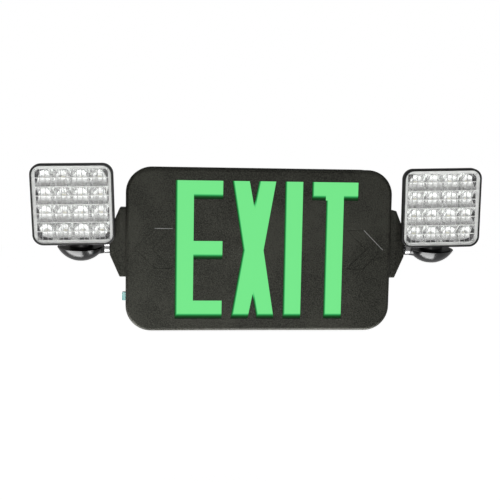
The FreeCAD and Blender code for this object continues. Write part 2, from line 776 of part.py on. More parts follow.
def build_control_board():
    x, z = size("main_board_x"), size("main_board_z")
    half_x, half_z = size("main_board_wide") / 2, size("main_board_high") / 2
    board = box("main_board_blank", (x - half_x, x + half_x), (board_face, board_y),
                (z - half_z, z + half_z))
    holes = [rod(f"main_board_hole_{number}", "y", size("screw_shank") + size("fit_gap"),
                 (board_face - 1, board_y + 1), a, b)
             for number, (a, b) in enumerate(board_post_places())]
    finish(carve("main_board_cut", board, holes), "control_board")
    finish(screws("board_screw_set", board_post_places(), board_face, 1), "board_screws")


def build_transformer():
    x, z = size("main_board_x") - size("core_shift"), size("main_board_z")
    half_x, half_z = size("core_wide") / 2, size("core_high") / 2
    top, lift = board_face - size("core_tall"), size("core_lift")
    core = box("core_block", (x - half_x, x + half_x), (board_face - lift, top + lift),
               (z - half_z, z + half_z))
    half_bobbin, reach = size("bobbin_wide") / 2, half_z + size("bobbin_out")
    bobbin = box("bobbin_block", (x - half_bobbin, x + half_bobbin), (board_face, top),
                 (z - reach, z + reach))
    finish(join("transformer_blank", [core, bobbin]), "transformer")


def build_capacitors():
    made = []
    x, z = size("main_board_x") + size("capacitor_shift"), size("main_board_z")
    for number, step in enumerate((-1, 0, 1)):
        made.append(rod(f"capacitor_{number}", "y", size("capacitor_radius"),
                        (board_face, board_face - size("capacitor_tall")),
                        x, z + step * size("capacitor_pitch")))
    finish(group("capacitor_set", made), "board_capacitors")


def build_terminal_block():
    """The mains terminals: wire holes across, clamp screw holes from the front."""
    x = size("main_board_x") + size("main_board_wide") / 2 - size("terminal_inset")
    z = size("main_board_z")
    half_x, half_z = size("terminal_wide") / 2, size("terminal_high") / 2
    top = board_face - size("terminal_tall")
    block = box("terminal_blank", (x - half_x, x + half_x), (board_face, top),
                (z - half_z, z + half_z))
    holes = []
    for number, step in enumerate((-1, 0, 1)):
        level = z + step * size("terminal_pitch")
        holes.append(rod(f"terminal_way_{number}", "x", size("terminal_way"),
                         (x - half_x - 1, x + half_x + 1), board_face - size("way_level"), level))
        holes.append(rod(f"terminal_screw_{number}", "y", size("terminal_way"),
                         (top + size("clamp_deep"), top - 1), x, level))
    finish(carve("terminal_cut", block, holes), "terminal_block")


def build_battery():
    """Three cells side by side under a strap."""
    radius, x, z = size("cell_radius"), size("cell_x"), size("cell_z")
    half = size("cell_long") / 2
    middle = back_inside - radius
    pitch = 2 * radius - size("cell_lap")
    cells = [rod(f"cell_{number}", "x", radius, (x - half, x + half), middle, z + pitch * step)
             for number, step in enumerate((-1, 0, 1))]
    finish(join("battery_blank", cells), "battery_pack")
    wide, thick = size("strap_wide") / 2, size("strap_thick")
    reach = pitch + radius + size("fit_gap")
    face = middle - radius - size("fit_gap")
    outer = box("strap_outer", (x - wide, x + wide), (back_inside, face - thick),
                (z - reach - thick, z + reach + thick))
    inner = box("strap_inner", (x - wide - 1, x + wide + 1), (back_inside + 1, face),
                (z - reach, z + reach))
    edge, foot = reach + thick, size("strap_foot")
    feet = [box(f"strap_foot_{up}", (x - wide, x + wide), (back_inside, back_inside - thick),
                (z + up * edge, z + up * (edge + foot))) for up in (-1, 1)]
    strap = join("strap_whole", [carve("strap_bridge", outer, [inner])] + feet)
    finish(strap, "battery_strap")
    places = [(x, z + up * (edge + foot / 2)) for up in (-1, 1)]
    seat = back_inside - thick
    heads = [rod(f"strap_rivet_{number}", "y", size("screw_head"),
                 (seat, seat - size("rivet_cap")), a, b)
             for number, (a, b) in enumerate(places)]
    finish(group("strap_rivet_set", heads), "strap_rivets")


def build_test_switch():
    """A push switch on its own little board, against the rib."""
    y, z = size("button_y"), size("button_z")
    half, half_board = size("switch_size") / 2, size("switch_board") / 2
    board = box("switch_board_blank", (switch_board_x, switch_rib_x),
                (y - half_board, y + half_board), (z - half_board, z + half_board))
    finish(board, "test_switch_board")
    face = switch_board_x - size("switch_tall")
    body = box("switch_blank", (face, switch_board_x), (y - half, y + half),
               (z - half, z + half))
    plunger = rod("switch_plunger", "x", size("plunger_radius"),
                  (face - size("plunger_tall"), switch_board_x), y, z)
    finish(join("switch_whole", [body, plunger]), "test_switch")


def build_test_button():
    """A moulded button: cap through the wall, flange inside, stem to the switch."""
    y, z = size("button_y"), size("button_z")
    half_y, half_z = size("button_wide") / 2, size("button_high") / 2
    outer_x = -case_half_wide - size("button_out")
    flange_x = -inner_half_wide + size("fit_gap")
    cap = box("button_cap", (outer_x, flange_x), (y - half_y, y + half_y),
              (z - half_z, z + half_z))
    doc.recompute()
    rounding = doc.addObject("Part::Fillet", "button_edges")
    rounding.Base = cap
    radius = size("button_round").number
    rounding.Edges = [(number, radius, radius) for number, edge in enumerate(cap.Shape.Edges, 1)
                      if flat_at(edge, "x", outer_x.number)]
    lap_y, lap_z = half_y + size("button_lap"), half_z + size("button_lap")
    flange = box("button_collar", (flange_x, flange_x + size("button_flange")),
                 (y - lap_y, y + lap_y), (z - lap_z, z + lap_z))
    stem = rod("button_stem", "x", size("stem_radius"),
               (flange_x, flange_x + size("stem_long")), y, z)
    finish(join("button_whole", [rounding, flange, stem]), "test_button")


# ------------------------------------------------------------------ the pods

def pod_solid(name, side, inset, start):
    """The pod's tapering block, or the same block set in all round."""
    wall_x = case_half_wide
    knee_x = wall_x + size("pod_straight")
    end_x = wall_x + size("pod_out") - inset
    y = size("neck_y")
    half, end_half = size("pod_deep") / 2 - inset, size("pod_end_deep") / 2 - inset
    top, foot = size("pod_top") - inset, size("pod_foot") + inset
    end_top, end_foot = size("pod_end_top") - inset, size("pod_end_foot") + inset
    straight = box(f"{name}_straight", (side * start, side * knee_x), (y - half, y + half),
                   (foot, top))
    taper = doc.addObject("Part::Wedge", f"{name}_taper")
    for prop, value in (("Xmin", -half), ("Xmax", half), ("Zmin", foot), ("Zmax", top),
                        ("Ymin", 0), ("Ymax", end_x - knee_x), ("X2min", -end_half),
                        ("X2max", end_half), ("Z2min", end_foot), ("Z2max", end_top)):
        setattr(taper, prop, as_size(value).number)
        bind(taper, prop, value)
    put(taper, side * knee_x, y, 0, Rotation(Vector(0, 0, 1), -90 * side))
    return join(f"{name}_solid", [straight, taper])


def build_pod(name, side):
    wall_x = case_half_wide
    inner_end = wall_x + size("pod_out") - size("pod_wall")
    blank = pod_solid(f"{name}_pod", side, as_size(0), wall_x)
    blank.Refine = True
    doc.recompute()
    edges = doc.addObject("Part::Fillet", f"{name}_pod_edges")
    edges.Base = blank
    radius = size("pod_round").number
    edges.Edges = [(number, radius, radius) for number, edge in enumerate(blank.Shape.Edges, 1)
                   if not flat_at(edge, "x", side * wall_x.number)]
    hollow = pod_solid(f"{name}_pod_hollow", side, size("pod_wall"), wall_x - 1)
    axle = rod(f"{name}_pod_bearing", "x", size("spigot_radius") + size("run_gap"),
               (side * (inner_end - 1), side * (inner_end + size("pod_wall") + 1)),
               size("neck_y"), size("neck_z"))
    shell = carve(f"{name}_pod_shell", edges, [hollow, axle])
    bosses = []
    pilots = []
    for number, level in enumerate(pod_screw_levels):
        bosses.append(rod(f"{name}_pod_boss_{number}", "x", size("post_radius"),
                          (side * wall_x, side * inner_end), size("neck_y"), level))
        pilots.append(rod(f"{name}_pod_pilot_{number}", "x", size("screw_shank"),
                          (side * (wall_x - 1), side * (wall_x + size("screw_long"))),
                          size("neck_y"), level))
    limit = pod_solid(f"{name}_pod_limit", side, size("pod_wall") / 4, wall_x)
    whole = overlap(f"{name}_pod_bosses", [join(f"{name}_boss_pair", bosses), limit])
    finish(carve(f"{name}_pod_drilled", join(f"{name}_pod_whole", [shell, whole]), pilots),
           f"{name}_pod")
    places = [(size("neck_y"), level) for level in pod_screw_levels]
    finish(screws(f"{name}_pod_screw_set", places, side * inner_half_wide, side, "x"),
           f"{name}_pod_screws")


# ---------------------------------------------------------------- the elbows

# An elbow's own frame has its origin on the neck axis under the bowl's centre.

def elbow_place(name, side):
    """Where an elbow stands, tilted about its neck."""
    pull = size(f"pull_{name}")
    at = Vector(side * (pod_end + size("bowl_out") + pull).number, size("neck_y").number,
                size("neck_z").number)
    return Placement(at, Rotation(Vector(1, 0, 0), size(f"tilt_{name}").number))


def head_place(name, side):
    """Where a head stands: on the bowl's centre, tilted, turned and leaning."""
    elbow = elbow_place(name, side)
    turn = Rotation(Vector(0, 0, 1), size(f"pan_{name}").number)
    lean = Rotation(Vector(0, 1, 0), size(f"lean_{name}").number)
    at = elbow.multVec(Vector(0, 0, size("bowl_lift").number))
    return Placement(at, elbow.Rotation.multiply(turn).multiply(lean))


pod_end = case_half_wide + size("pod_out")
neck_start = size("bowl_out") - size("run_gap")
ring_end = neck_start - size("ring_long")
collar_start = ring_end - size("ring_groove")
spigot_end = neck_start + size("run_gap") + size("pod_wall") + size("spigot_in")
clip_start = neck_start + size("run_gap") / 2 + size("pod_wall") + size("neck_play")


def build_elbow(name, side):
    """Neck and bowl in one moulding, with its ring and its clip."""
    toward = -side
    lift, radius = size("bowl_lift"), size("bowl_radius")
    inner = radius - size("bowl_wall")
    rim = lift - size("bowl_rim")
    floor = lift - size("bowl_floor")
    bottom = lift - radius
    spigot = rod(f"{name}_spigot", "x", size("spigot_radius"),
                 (toward * spigot_end, toward * (collar_start - 1)), 0, 0)
    collar = cone(f"{name}_collar", "x", size("neck_radius"),
                  size("neck_radius") + size("collar_flare"),
                  (toward * collar_start, toward * size("collar_end")), 0, 0)
    sphere = overlap(f"{name}_bowl_outside", [
        ball(f"{name}_bowl_ball", radius, 0, 0, lift),
        box(f"{name}_bowl_below_rim", (-radius - 1, radius + 1), (-radius - 1, radius + 1),
            (bottom - 1, rim))])
    whole = join(f"{name}_elbow_solid", [spigot, collar, sphere])
    cavity = overlap(f"{name}_bowl_inside", [
        ball(f"{name}_inner_ball", inner, 0, 0, lift),
        box(f"{name}_above_floor", (-inner - 1, inner + 1), (-inner - 1, inner + 1),
            (floor, lift))])
    sweep = rod(f"{name}_head_sweep", "z", inner - size("sweep_inset"), (rim, lift + radius),
                0, 0)
    hole = rod(f"{name}_post_hole", "z", size("post_hole"), (bottom - 1, floor + 1), 0, 0)
    recess = rod(f"{name}_nut_recess", "z", size("nut_recess"),
                 (bottom - 1, floor - size("floor_thick")), 0, 0)
    bore = rod(f"{name}_neck_bore", "x", size("neck_bore"),
               (toward * (spigot_end + 1), toward * size("bore_end")), 0, 0)
    seat_radius = size("spigot_radius") - size("clip_seat")
    groove = ring_shape(f"{name}_clip_groove", toward, size("spigot_radius") + 1, seat_radius,
                        (clip_start - size("fit_gap") / 2,
                         clip_start + size("clip_thick") + size("fit_gap") / 2))
    place = elbow_place(name, side)
    finish(carve(f"{name}_elbow_cut", whole, [cavity, sweep, hole, recess, bore, groove]),
           f"{name}_elbow", place)
    ring = ring_shape(f"{name}_ring_blank", toward, size("neck_radius"), size("spigot_radius"),
                      (neck_start, ring_end))
    finish(ring, f"{name}_neck_ring", place)
    clip = ring_shape(f"{name}_clip_blank", toward, size("clip_radius"),
                      seat_radius + size("fit_gap") / 2,
                      (clip_start, clip_start + size("clip_thick")))
    half_mouth = size("clip_mouth") / 2
    mouth = box(f"{name}_clip_mouth",
                (toward * (clip_start - 1), toward * (clip_start + size("clip_thick") + 1)),
                (-half_mouth, half_mouth), (0, size("clip_radius") + 1))
    finish(carve(f"{name}_clip_cut", clip, [mouth]), f"{name}_neck_clip", place)


def ring_shape(name, toward, outer, inner, ends):
    """A ring about the neck's axis."""
    first, last = ends
    span = (toward * first, toward * last)
    over = (toward * (first + (last - first) * 2), toward * (first - (last - first)))
    return carve(name, rod(f"{name}_outer", "x", outer, span, 0, 0),
                 [rod(f"{name}_inner", "x", inner, over, 0, 0)])


# ----------------------------------------------------------------- the heads

# A head's own frame has its origin at the centre of the bowl's sphere.

front = -size("head_front")
bezel_back = front + size("bezel_deep")
lens_front = front - size("lens_proud")
lip_back = front + size("bezel_lip")
lens_back = lip_back + size("lens_base")
can_front = lens_back
can_end = front + size("can_deep")
ledge_y = bezel_back - size("can_wall")
lens_side = size("head_side") - 2 * size("bezel_wall") - 2 * size("fit_gap")
lens_corner = size("head_corner") - size("bezel_wall") - size("fit_gap")
opening_side = size("head_side") - 2 * size("bezel_wide")
opening_corner = size("head_corner") - size("bezel_wide")
reflector_back = can_front + size("cup_deep")
head_z = size("head_lift")
dome_top = size("dome_rise") - size("bowl_rim")
dome_bottom = size("seat_gap") - size("bowl_floor")
stub_top = dome_top + size("stub_tall")


def head_x(side):
    return side * size("head_out")


def square(drawing, side, width, corner):
    """A rounded square about the head's middle."""
    rounded(drawing, width, width, corner, head_x(side), head_z)


def build_bezel(name, side, place):
    body = new_body(f"{name}_bezel_body")
    outline = sketch_at(body, f"{name}_bezel_outline", -bezel_back)
    square(outline, side, size("head_side"), size("head_corner"))
    block = pad(body, f"{name}_bezel_block", outline, size("bezel_deep"))
    soften(body, f"{name}_bezel_edge", block, size("bezel_round"),
           lambda edge: flat_at(edge, "y", front.number))
    hollow = sketch_at(body, f"{name}_bezel_hollow", -bezel_back)
    square(hollow, side, size("head_side") - 2 * size("bezel_wall"),
           size("head_corner") - size("bezel_wall"))
    pocket(body, f"{name}_bezel_inside", hollow, size("bezel_deep") - size("bezel_lip"), True)
    window = sketch_at(body, f"{name}_bezel_window", -front)
    square(window, side, opening_side, opening_corner)
    pocket(body, f"{name}_bezel_opening", window, size("bezel_deep"))
    finish(body, f"{name}_bezel", place)


def build_lens(name, side, place):
    body = new_body(f"{name}_lens_body")
    base = sketch_at(body, f"{name}_lens_flange", -lens_back)
    square(base, side, lens_side, lens_corner)
    pad(body, f"{name}_lens_base", base, size("lens_base"))
    face = sketch_at(body, f"{name}_lens_face", -lip_back)
    square(face, side, opening_side - 2 * size("fit_gap"), opening_corner - size("fit_gap"))
    front_pad = pad(body, f"{name}_lens_front", face, size("bezel_lip") + size("lens_proud"))
    soften(body, f"{name}_lens_edge", front_pad, size("lens_round"),
           lambda edge: flat_at(edge, "y", lens_front.number))
    doc.recompute()
    span = size("cup_pitch") * size("cell_rows")
    half = span / 2
    rows, columns = count("rib_rows"), count("rib_columns")
    depth = size("rib_deep")
    grooves = []
    for number in range(1, rows):
        z = head_z - half + span / rows * number
        grooves.append(prism(f"{name}_row_{number}", "x", depth,
                             (head_x(side) - half, head_x(side) + half), lens_back, z))
    for number in range(1, columns):
        x = head_x(side) - half + span / columns * number
        grooves.append(prism(f"{name}_column_{number}", "z", depth,
                             (head_z - half, head_z + half), lens_back, x))
    finish(carve(f"{name}_lens_ribbed", body, grooves), f"{name}_lens", place)


def prism(name, axis, depth, ends, y, across):
    """A square bar on its corner that cuts a V groove of that depth."""
    side = depth * math.sqrt(2)
    low, high = ends
    bar = doc.addObject("Part::Box", name)
    for prop, value in (("Length", side), ("Width", side), ("Height", high - low)):
        setattr(bar, prop, as_size(value).number)
        bind(bar, prop, value)
    if axis == "z":
        return put(bar, across, y - depth, low, Rotation(Vector(0, 0, 1), 45))
    turn = Rotation(Vector(0, 1, 0), 90).multiply(Rotation(Vector(0, 0, 1), 45))
    return put(bar, low, y - depth, across, turn)


def build_can(name, side, place):
    """The lamp housing: skirt, tapering back, and the chin that the dome plugs into."""
    wall = size("can_wall")
    body = new_body(f"{name}_can_body")
    skirt = sketch_at(body, f"{name}_skirt_outline", -bezel_back)
    square(skirt, side, lens_side, lens_corner)
    pad(body, f"{name}_skirt", skirt, bezel_back - can_front)
    mouth = sketch_at(body, f"{name}_can_mouth", -bezel_back)
    square(mouth, side, size("can_side"), size("can_corner"))
    back = sketch_at(body, f"{name}_can_back", -can_end)
    square(back, side, size("can_back"), size("back_corner"))
    loft(body, "AdditiveLoft", f"{name}_can_taper", mouth, back)
    doc.recompute()
    inside = new_body(f"{name}_can_inside_body")
    well = sketch_at(inside, f"{name}_skirt_inside", -ledge_y)
    square(well, side, lens_side - 2 * wall, lens_corner - wall)
    pad(inside, f"{name}_skirt_well", well, ledge_y - can_front + 1)
    well_mouth = sketch_at(inside, f"{name}_inner_mouth", -ledge_y)
    square(well_mouth, side, size("can_side") - 2 * wall, size("can_corner") - wall)
    well_back = sketch_at(inside, f"{name}_inner_back", -(can_end - wall))
    square(well_back, side, size("can_back") - wall, size("back_corner") - wall / 2)
    loft(inside, "AdditiveLoft", f"{name}_inner_taper", well_mouth, well_back)
    doc.recompute()
    chin_top = dome_top + size("chin_tall")
    chin = join(f"{name}_chin", [
        rod(f"{name}_chin_round", "z", size("chin_radius"), (dome_top, chin_top), 0, 0),
        ball(f"{name}_chin_top", size("chin_radius"), 0, 0, chin_top)])
    hollow_radius = size("chin_radius") - wall
    chin_inside = join(f"{name}_chin_inside", [
        rod(f"{name}_chin_well", "z", hollow_radius, (dome_top - 1, chin_top), 0, 0),
        ball(f"{name}_chin_well_top", hollow_radius, 0, 0, chin_top)])
    whole = join(f"{name}_can_whole", [body, chin])
    finish(carve(f"{name}_can_cut", whole, [inside, chin_inside]), f"{name}_lamp_housing", place)


def build_reflector(name, side, place):
    """A tray of square cups, one for each LED."""
    wall = size("can_wall")
    body = new_body(f"{name}_reflector_body")
    block = sketch_at(body, f"{name}_reflector_outline", -ledge_y)
    flange = lens_side - 2 * wall - 2 * size("fit_gap")
    square(block, side, flange, lens_corner - wall - size("fit_gap"))
    pad(body, f"{name}_reflector_block", block, ledge_y - can_front)
    neck = sketch_at(body, f"{name}_reflector_neck", -ledge_y)
    neck_side = size("can_side") - 2 * wall - 2 * size("fit_gap")
    square(neck, side, neck_side, size("can_corner") - wall)
    rear = sketch_at(body, f"{name}_reflector_rear", -reflector_back)
    square(rear, side, size("lamp_board_side") + 2 * wall, size("can_corner") - wall)
    loft(body, "AdditiveLoft", f"{name}_reflector_taper", neck, rear)
    doc.recompute()
    cups = []
    rows = count("cell_rows")
    pitch, mouth, base = size("cup_pitch"), size("cup_mouth") / 2, size("cup_base") / 2
    for row in range(rows):
        for column in range(rows):
            x = head_x(side) + pitch * (column - (rows - 1) / 2)
            z = head_z + pitch * (row - (rows - 1) / 2)
            cup = doc.addObject("Part::Wedge", f"{name}_cup_{row}_{column}")
            for prop, value in (("Xmin", -mouth), ("Xmax", mouth), ("Zmin", -mouth),
                                ("Zmax", mouth), ("Ymin", 0), ("Ymax", size("cup_deep")),
                                ("X2min", -base), ("X2max", base), ("Z2min", -base),
                                ("Z2max", base)):
                setattr(cup, prop, as_size(value).number)
                bind(cup, prop, value)
            cups.append(put(cup, x, can_front, z))
    finish(carve(f"{name}_reflector_cut", body, cups), f"{name}_reflector", place)


def build_lamp_board(name, side, place):
    half = size("lamp_board_side") / 2
    board = box(f"{name}_lamp_board_blank", (head_x(side) - half, head_x(side) + half),
                (reflector_back, reflector_back + size("board_thick")),
                (head_z - half, head_z + half))
    finish(group(f"{name}_lamp_board_piece", [board]), f"{name}_lamp_board", place)
    rows = count("cell_rows")
    lamp = size("led_size") / 2
    lamps = []
    for row in range(rows):
        for column in range(rows):
            x = head_x(side) + size("cup_pitch") * (column - (rows - 1) / 2)
            z = head_z + size("cup_pitch") * (row - (rows - 1) / 2)
            lamps.append(box(f"{name}_lamp_{row}_{column}", (x - lamp, x + lamp),
                             (reflector_back - size("led_tall"), reflector_back),
                             (z - lamp, z + lamp)))
    finish(group(f"{name}_lamp_set", lamps), f"{name}_lamp_leds", place)


def build_swivel(name, place):
    """The dome in the bowl, and the hollow post, washer and nut that hold it there."""
    radius = size("bowl_radius") - size("bowl_wall") - size("dome_gap")
    cap = overlap(f"{name}_dome_cap", [
        ball(f"{name}_dome_ball", radius, 0, 0, 0),
        box(f"{name}_dome_band", (-radius - 1, radius + 1), (-radius - 1, radius + 1),
            (dome_bottom, dome_top))])
    stub = rod(f"{name}_dome_stub", "z", size("chin_radius") - size("can_wall") - size("fit_gap"),
               (dome_top - 1, stub_top), 0, 0)
    bore = rod(f"{name}_dome_bore", "z", size("swivel_radius") + size("fit_gap"),
               (dome_bottom - 1, stub_top + 1), 0, 0)
    finish(carve(f"{name}_dome_cut", join(f"{name}_dome_whole", [cap, stub]), [bore]),
           f"{name}_swivel_dome", place)
    seat = size("floor_thick") + size("bowl_floor")
    washer_top = -seat - size("washer_gap")
    washer_foot = washer_top - size("washer_thick")
    nut_foot = washer_foot - size("nut_tall")
    post = rod(f"{name}_post_bar", "z", size("swivel_radius"), (nut_foot, stub_top), 0, 0)
    flange = rod(f"{name}_post_flange", "z", size("swivel_flange"),
                 (stub_top, stub_top + size("flange_thick")), 0, 0)
    way = rod(f"{name}_post_bore", "z", size("swivel_bore"),
              (nut_foot - 1, stub_top + size("flange_thick") + 1), 0, 0)
    finish(carve(f"{name}_post_cut", join(f"{name}_post_whole", [post, flange]), [way]),
           f"{name}_swivel_post", place)
    disc = rod(f"{name}_washer_disc", "z", size("washer_radius"), (washer_foot, washer_top), 0, 0)
    eye = rod(f"{name}_washer_eye", "z", size("swivel_radius"),
              (washer_foot - 1, washer_top + 1), 0, 0)
    finish(carve(f"{name}_washer_cut", disc, [eye]), f"{name}_swivel_washer", place)
    hexagon = doc.addObject("Part::Prism", f"{name}_nut_hex")
    hexagon.Polygon = 6
    corner = size("nut_flats") / math.sqrt(3)
    for prop, value in (("Circumradius", corner), ("Height", size("nut_tall"))):
        setattr(hexagon, prop, value.number)
        bind(hexagon, prop, value)
    put(hexagon, 0, 0, nut_foot)
    thread = rod(f"{name}_nut_eye", "z", size("swivel_radius"),
                 (nut_foot - 1, washer_foot + 1), 0, 0)
    finish(carve(f"{name}_nut_cut", hexagon, [thread]), f"{name}_swivel_nut", place)


# ------------------------------------------------------------------ assembly

build_back_housing()
build_faceplate()
build_diffuser()
build_tray()
build_tray_screws()
build_led_strip("upper", 1)
build_led_strip("lower", -1)
build_control_board()
build_transformer()
build_capacitors()
build_terminal_block()
build_battery()
build_test_switch()
build_test_button()
for side_name, side_sign in (("left", -1), ("right", 1)):
    build_pod(side_name, side_sign)
    build_elbow(side_name, side_sign)
    stand = head_place(side_name, side_sign)
    build_can(side_name, side_sign, stand)
    build_bezel(side_name, side_sign, stand)
    build_lens(side_name, side_sign, stand)
    build_reflector(side_name, side_sign, stand)
    build_lamp_board(side_name, side_sign, stand)
    build_swivel(side_name, stand)

doc.recompute()
for item in doc.Objects:
    if "Invalid" in item.State or "Error" in item.State:
        raise RuntimeError(f"{item.Name} did not build: {item.State}")
os.makedirs("parts", exist_ok=True)
for item in sub_parts:
    if item.Shape.isNull() or not item.Shape.isValid():
        raise RuntimeError(f"{item.Label} has no valid shape")
    item.Shape.exportStep(os.path.join("parts", item.Label + ".step"))
    print(f"{item.Label}: {len(item.Shape.Solids)} solid(s), {item.Shape.Volume:.1f} mm3")
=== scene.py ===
import json
import math

import bmesh
import bpy
from mathutils import Matrix, Vector


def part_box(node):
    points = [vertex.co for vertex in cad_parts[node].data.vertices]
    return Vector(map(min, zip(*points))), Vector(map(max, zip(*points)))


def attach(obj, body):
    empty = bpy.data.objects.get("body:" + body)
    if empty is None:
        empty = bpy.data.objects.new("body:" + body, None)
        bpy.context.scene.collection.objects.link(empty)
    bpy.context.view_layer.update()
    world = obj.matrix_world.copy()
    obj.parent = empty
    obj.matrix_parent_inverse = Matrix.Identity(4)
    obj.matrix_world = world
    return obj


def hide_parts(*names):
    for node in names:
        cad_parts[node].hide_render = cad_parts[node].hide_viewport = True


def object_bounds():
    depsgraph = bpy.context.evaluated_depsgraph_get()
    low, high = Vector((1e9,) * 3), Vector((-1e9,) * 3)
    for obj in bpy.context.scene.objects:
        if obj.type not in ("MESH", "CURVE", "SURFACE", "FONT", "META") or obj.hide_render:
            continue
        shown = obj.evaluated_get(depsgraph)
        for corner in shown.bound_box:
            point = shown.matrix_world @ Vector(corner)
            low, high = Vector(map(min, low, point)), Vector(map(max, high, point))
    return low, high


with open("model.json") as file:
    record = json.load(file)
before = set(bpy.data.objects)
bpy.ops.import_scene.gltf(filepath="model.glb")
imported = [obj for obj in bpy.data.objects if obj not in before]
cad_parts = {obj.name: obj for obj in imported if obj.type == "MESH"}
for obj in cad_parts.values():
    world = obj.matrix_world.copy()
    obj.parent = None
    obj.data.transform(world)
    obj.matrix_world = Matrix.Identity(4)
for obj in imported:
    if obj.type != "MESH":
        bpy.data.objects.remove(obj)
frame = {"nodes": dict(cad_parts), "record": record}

cad_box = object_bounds()
NODES = frame["nodes"]
SIDES = ("left", "right")
MM = 0.001
PLATE_LOW, PLATE_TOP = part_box("faceplate")
PLATE_HIGH = PLATE_TOP.z - PLATE_LOW.z
PLATE_FRONT = PLATE_LOW.y
WELD = 1e-7


# ------------------------------------------------------------------ materials

# Noise lies mostly between these two values.
NOISE_LOW = 0.3
NOISE_HIGH = 0.7
FINE_RELIEF = 0.1 * MM
GRAIN_RELIEF = 0.6 * MM


def shader(name, colour, roughness, **values):
    """A node material with one Principled shader; returns it, its node tree and the shader."""
    material = bpy.data.materials.new(name)
    material.use_nodes = True
    tree = material.node_tree
    principled = tree.nodes["Principled BSDF"]
    principled.inputs["Base Color"].default_value = (*colour, 1)
    principled.inputs["Roughness"].default_value = roughness
    for socket, value in values.items():
        principled.inputs[socket.replace("_", " ")].default_value = value
    return material, tree, principled


def add(tree, kind, inputs=None, **settings):
    """One node, with its settings and its input values or links."""
    node = tree.nodes.new(kind)
    for key, value in settings.items():
        setattr(node, key, value)
    for key, value in (inputs or {}).items():
        if isinstance(value, bpy.types.NodeSocket):
            tree.links.new(value, node.inputs[key])
        else:
            node.inputs[key].default_value = value
    return node


def calculate(tree, operation, first, second):
    """The result of one sum on two values."""
    return add(tree, "ShaderNodeMath", {0: first, 1: second}, operation=operation).outputs[0]


def ramp(tree, source, low, high, start=0.0, end=1.0):
    """A value remapped from start..end to low..high."""
    node = add(tree, "ShaderNodeMapRange", {0: source, 1: start, 2: end, 3: low, 4: high})
    return node.outputs[0]


def noise(tree, scale, detail=2.0, rough=0.5):
    """Noise in the object's own space; the scale is in cells to the metre."""
    place = add(tree, "ShaderNodeTexCoord").outputs["Object"]
    return add(tree, "ShaderNodeTexNoise", {"Vector": place, "Scale": scale, "Detail": detail,
                                            "Roughness": rough}).outputs["Fac"]


def tint(tree, factor, dark, pale):
    """A colour between dark and pale by a factor."""
    mix = add(tree, "ShaderNodeMix", data_type="RGBA")
    tree.links.new(factor, mix.inputs["Factor"])
    mix.inputs[6].default_value = (*dark, 1)
    mix.inputs[7].default_value = (*pale, 1)
    return mix.outputs[2]


def sheen(tree, principled, source, low, high):
    """Roughness that follows a noise between two values."""
    tree.links.new(ramp(tree, source, low, high, NOISE_LOW, NOISE_HIGH),
                   principled.inputs["Roughness"])


def bump(tree, principled, height, strength, distance):
    """Relief on the surface from a height."""
    node = add(tree, "ShaderNodeBump", {"Height": height, "Strength": strength,
                                        "Distance": distance})
    tree.links.new(node.outputs[0], principled.inputs["Normal"])


def textured_black():
    """Black ABS with a fine spark-eroded grain and a little dust in it."""
    material, tree, principled = shader(
        "textured_black", (0.012, 0.012, 0.01), 0.5,
        Specular_IOR_Level=0.3, Specular_Tint=(0.98, 1.0, 0.86, 1))
    grain = noise(tree, 1000, 3)
    speckle = ramp(tree, noise(tree, 800, 2), 0.0, 1.0, 0.35, 0.65)
    dust = ramp(tree, noise(tree, 14, 5, 0.6), 0.0, 0.9, 0.45, 0.75)
    shade = calculate(tree, "ADD", speckle, dust)
    tree.links.new(tint(tree, shade, (0.001, 0.001, 0.0008), (0.046, 0.046, 0.038)),
                   principled.inputs["Base Color"])
    sheen(tree, principled, grain, 0.36, 0.48)
    bump(tree, principled, grain, 0.7, GRAIN_RELIEF)
    return material


def plain(name, colour, roughness, spread=0.15, scale=120.0, grain=0.1, **values):
    """A moulded or finished surface with slight changes of shade and sheen."""
    material, tree, principled = shader(name, colour, roughness, **values)
    cloud = noise(tree, scale, 4)
    dark = tuple(part * (1 - spread) for part in colour)
    pale = tuple(min(1, part * (1 + spread)) for part in colour)
    tree.links.new(tint(tree, cloud, dark, pale), principled.inputs["Base Color"])
    sheen(tree, principled, cloud, roughness * 0.85, min(1, roughness * 1.15))
    bump(tree, principled, noise(tree, scale * 12, 2), grain, FINE_RELIEF)
    return material


def lit_green():
    """Green acrylic lit from behind."""
    material, tree, principled = shader("lit_green", (0.05, 0.6, 0.15), 0.35,
                                        Emission_Strength=0.5)
    colour = tint(tree, noise(tree, 30, 3), (0.07, 0.76, 0.14), (0.10, 0.80, 0.20))
    tree.links.new(colour, principled.inputs["Base Color"])
    tree.links.new(colour, principled.inputs["Emission Color"])
    bump(tree, principled, noise(tree, 900, 2), 0.1, FINE_RELIEF)
    return material


def painted_shade_letter_green():
    """Green acrylic lit from behind, with painted shade along the lower and left edges of each
    letter.
    """
    material, tree, principled = shader("painted_shade_letter_green", (0.01, 0.06, 0.02), 0.3,
                                        Specular_IOR_Level=0.1, Emission_Strength=0.97)
    shade = add(tree, "ShaderNodeAttribute", attribute_name="shade").outputs["Fac"]
    stops = add(tree, "ShaderNodeValToRGB", {"Fac": shade})
    # Painted shade: the letters' glow runs from near black at their lower and left edges to
    # full green inside.
    painted_shade_colours = ((0.0, (0.0005, 0.006, 0.0005)), (0.25, (0.0008, 0.014, 0.001)),
               (0.45, (0.0015, 0.045, 0.004)), (0.65, (0.01, 0.19, 0.035)),
               (0.85, (0.05, 0.49, 0.14)), (1.0, (0.178, 0.79, 0.254)))
    band = stops.color_ramp
    for position, colour in painted_shade_colours[1:-1]:
        band.elements.new(position)
    for element, (position, colour) in zip(band.elements, painted_shade_colours):
        element.position = position
        element.color = (*colour, 1)
    tree.links.new(stops.outputs["Color"], principled.inputs["Emission Color"])
    sheen(tree, principled, noise(tree, 30, 3), 0.5, 0.6)
    bump(tree, principled, noise(tree, 900, 2), 0.1, FINE_RELIEF)
    return material


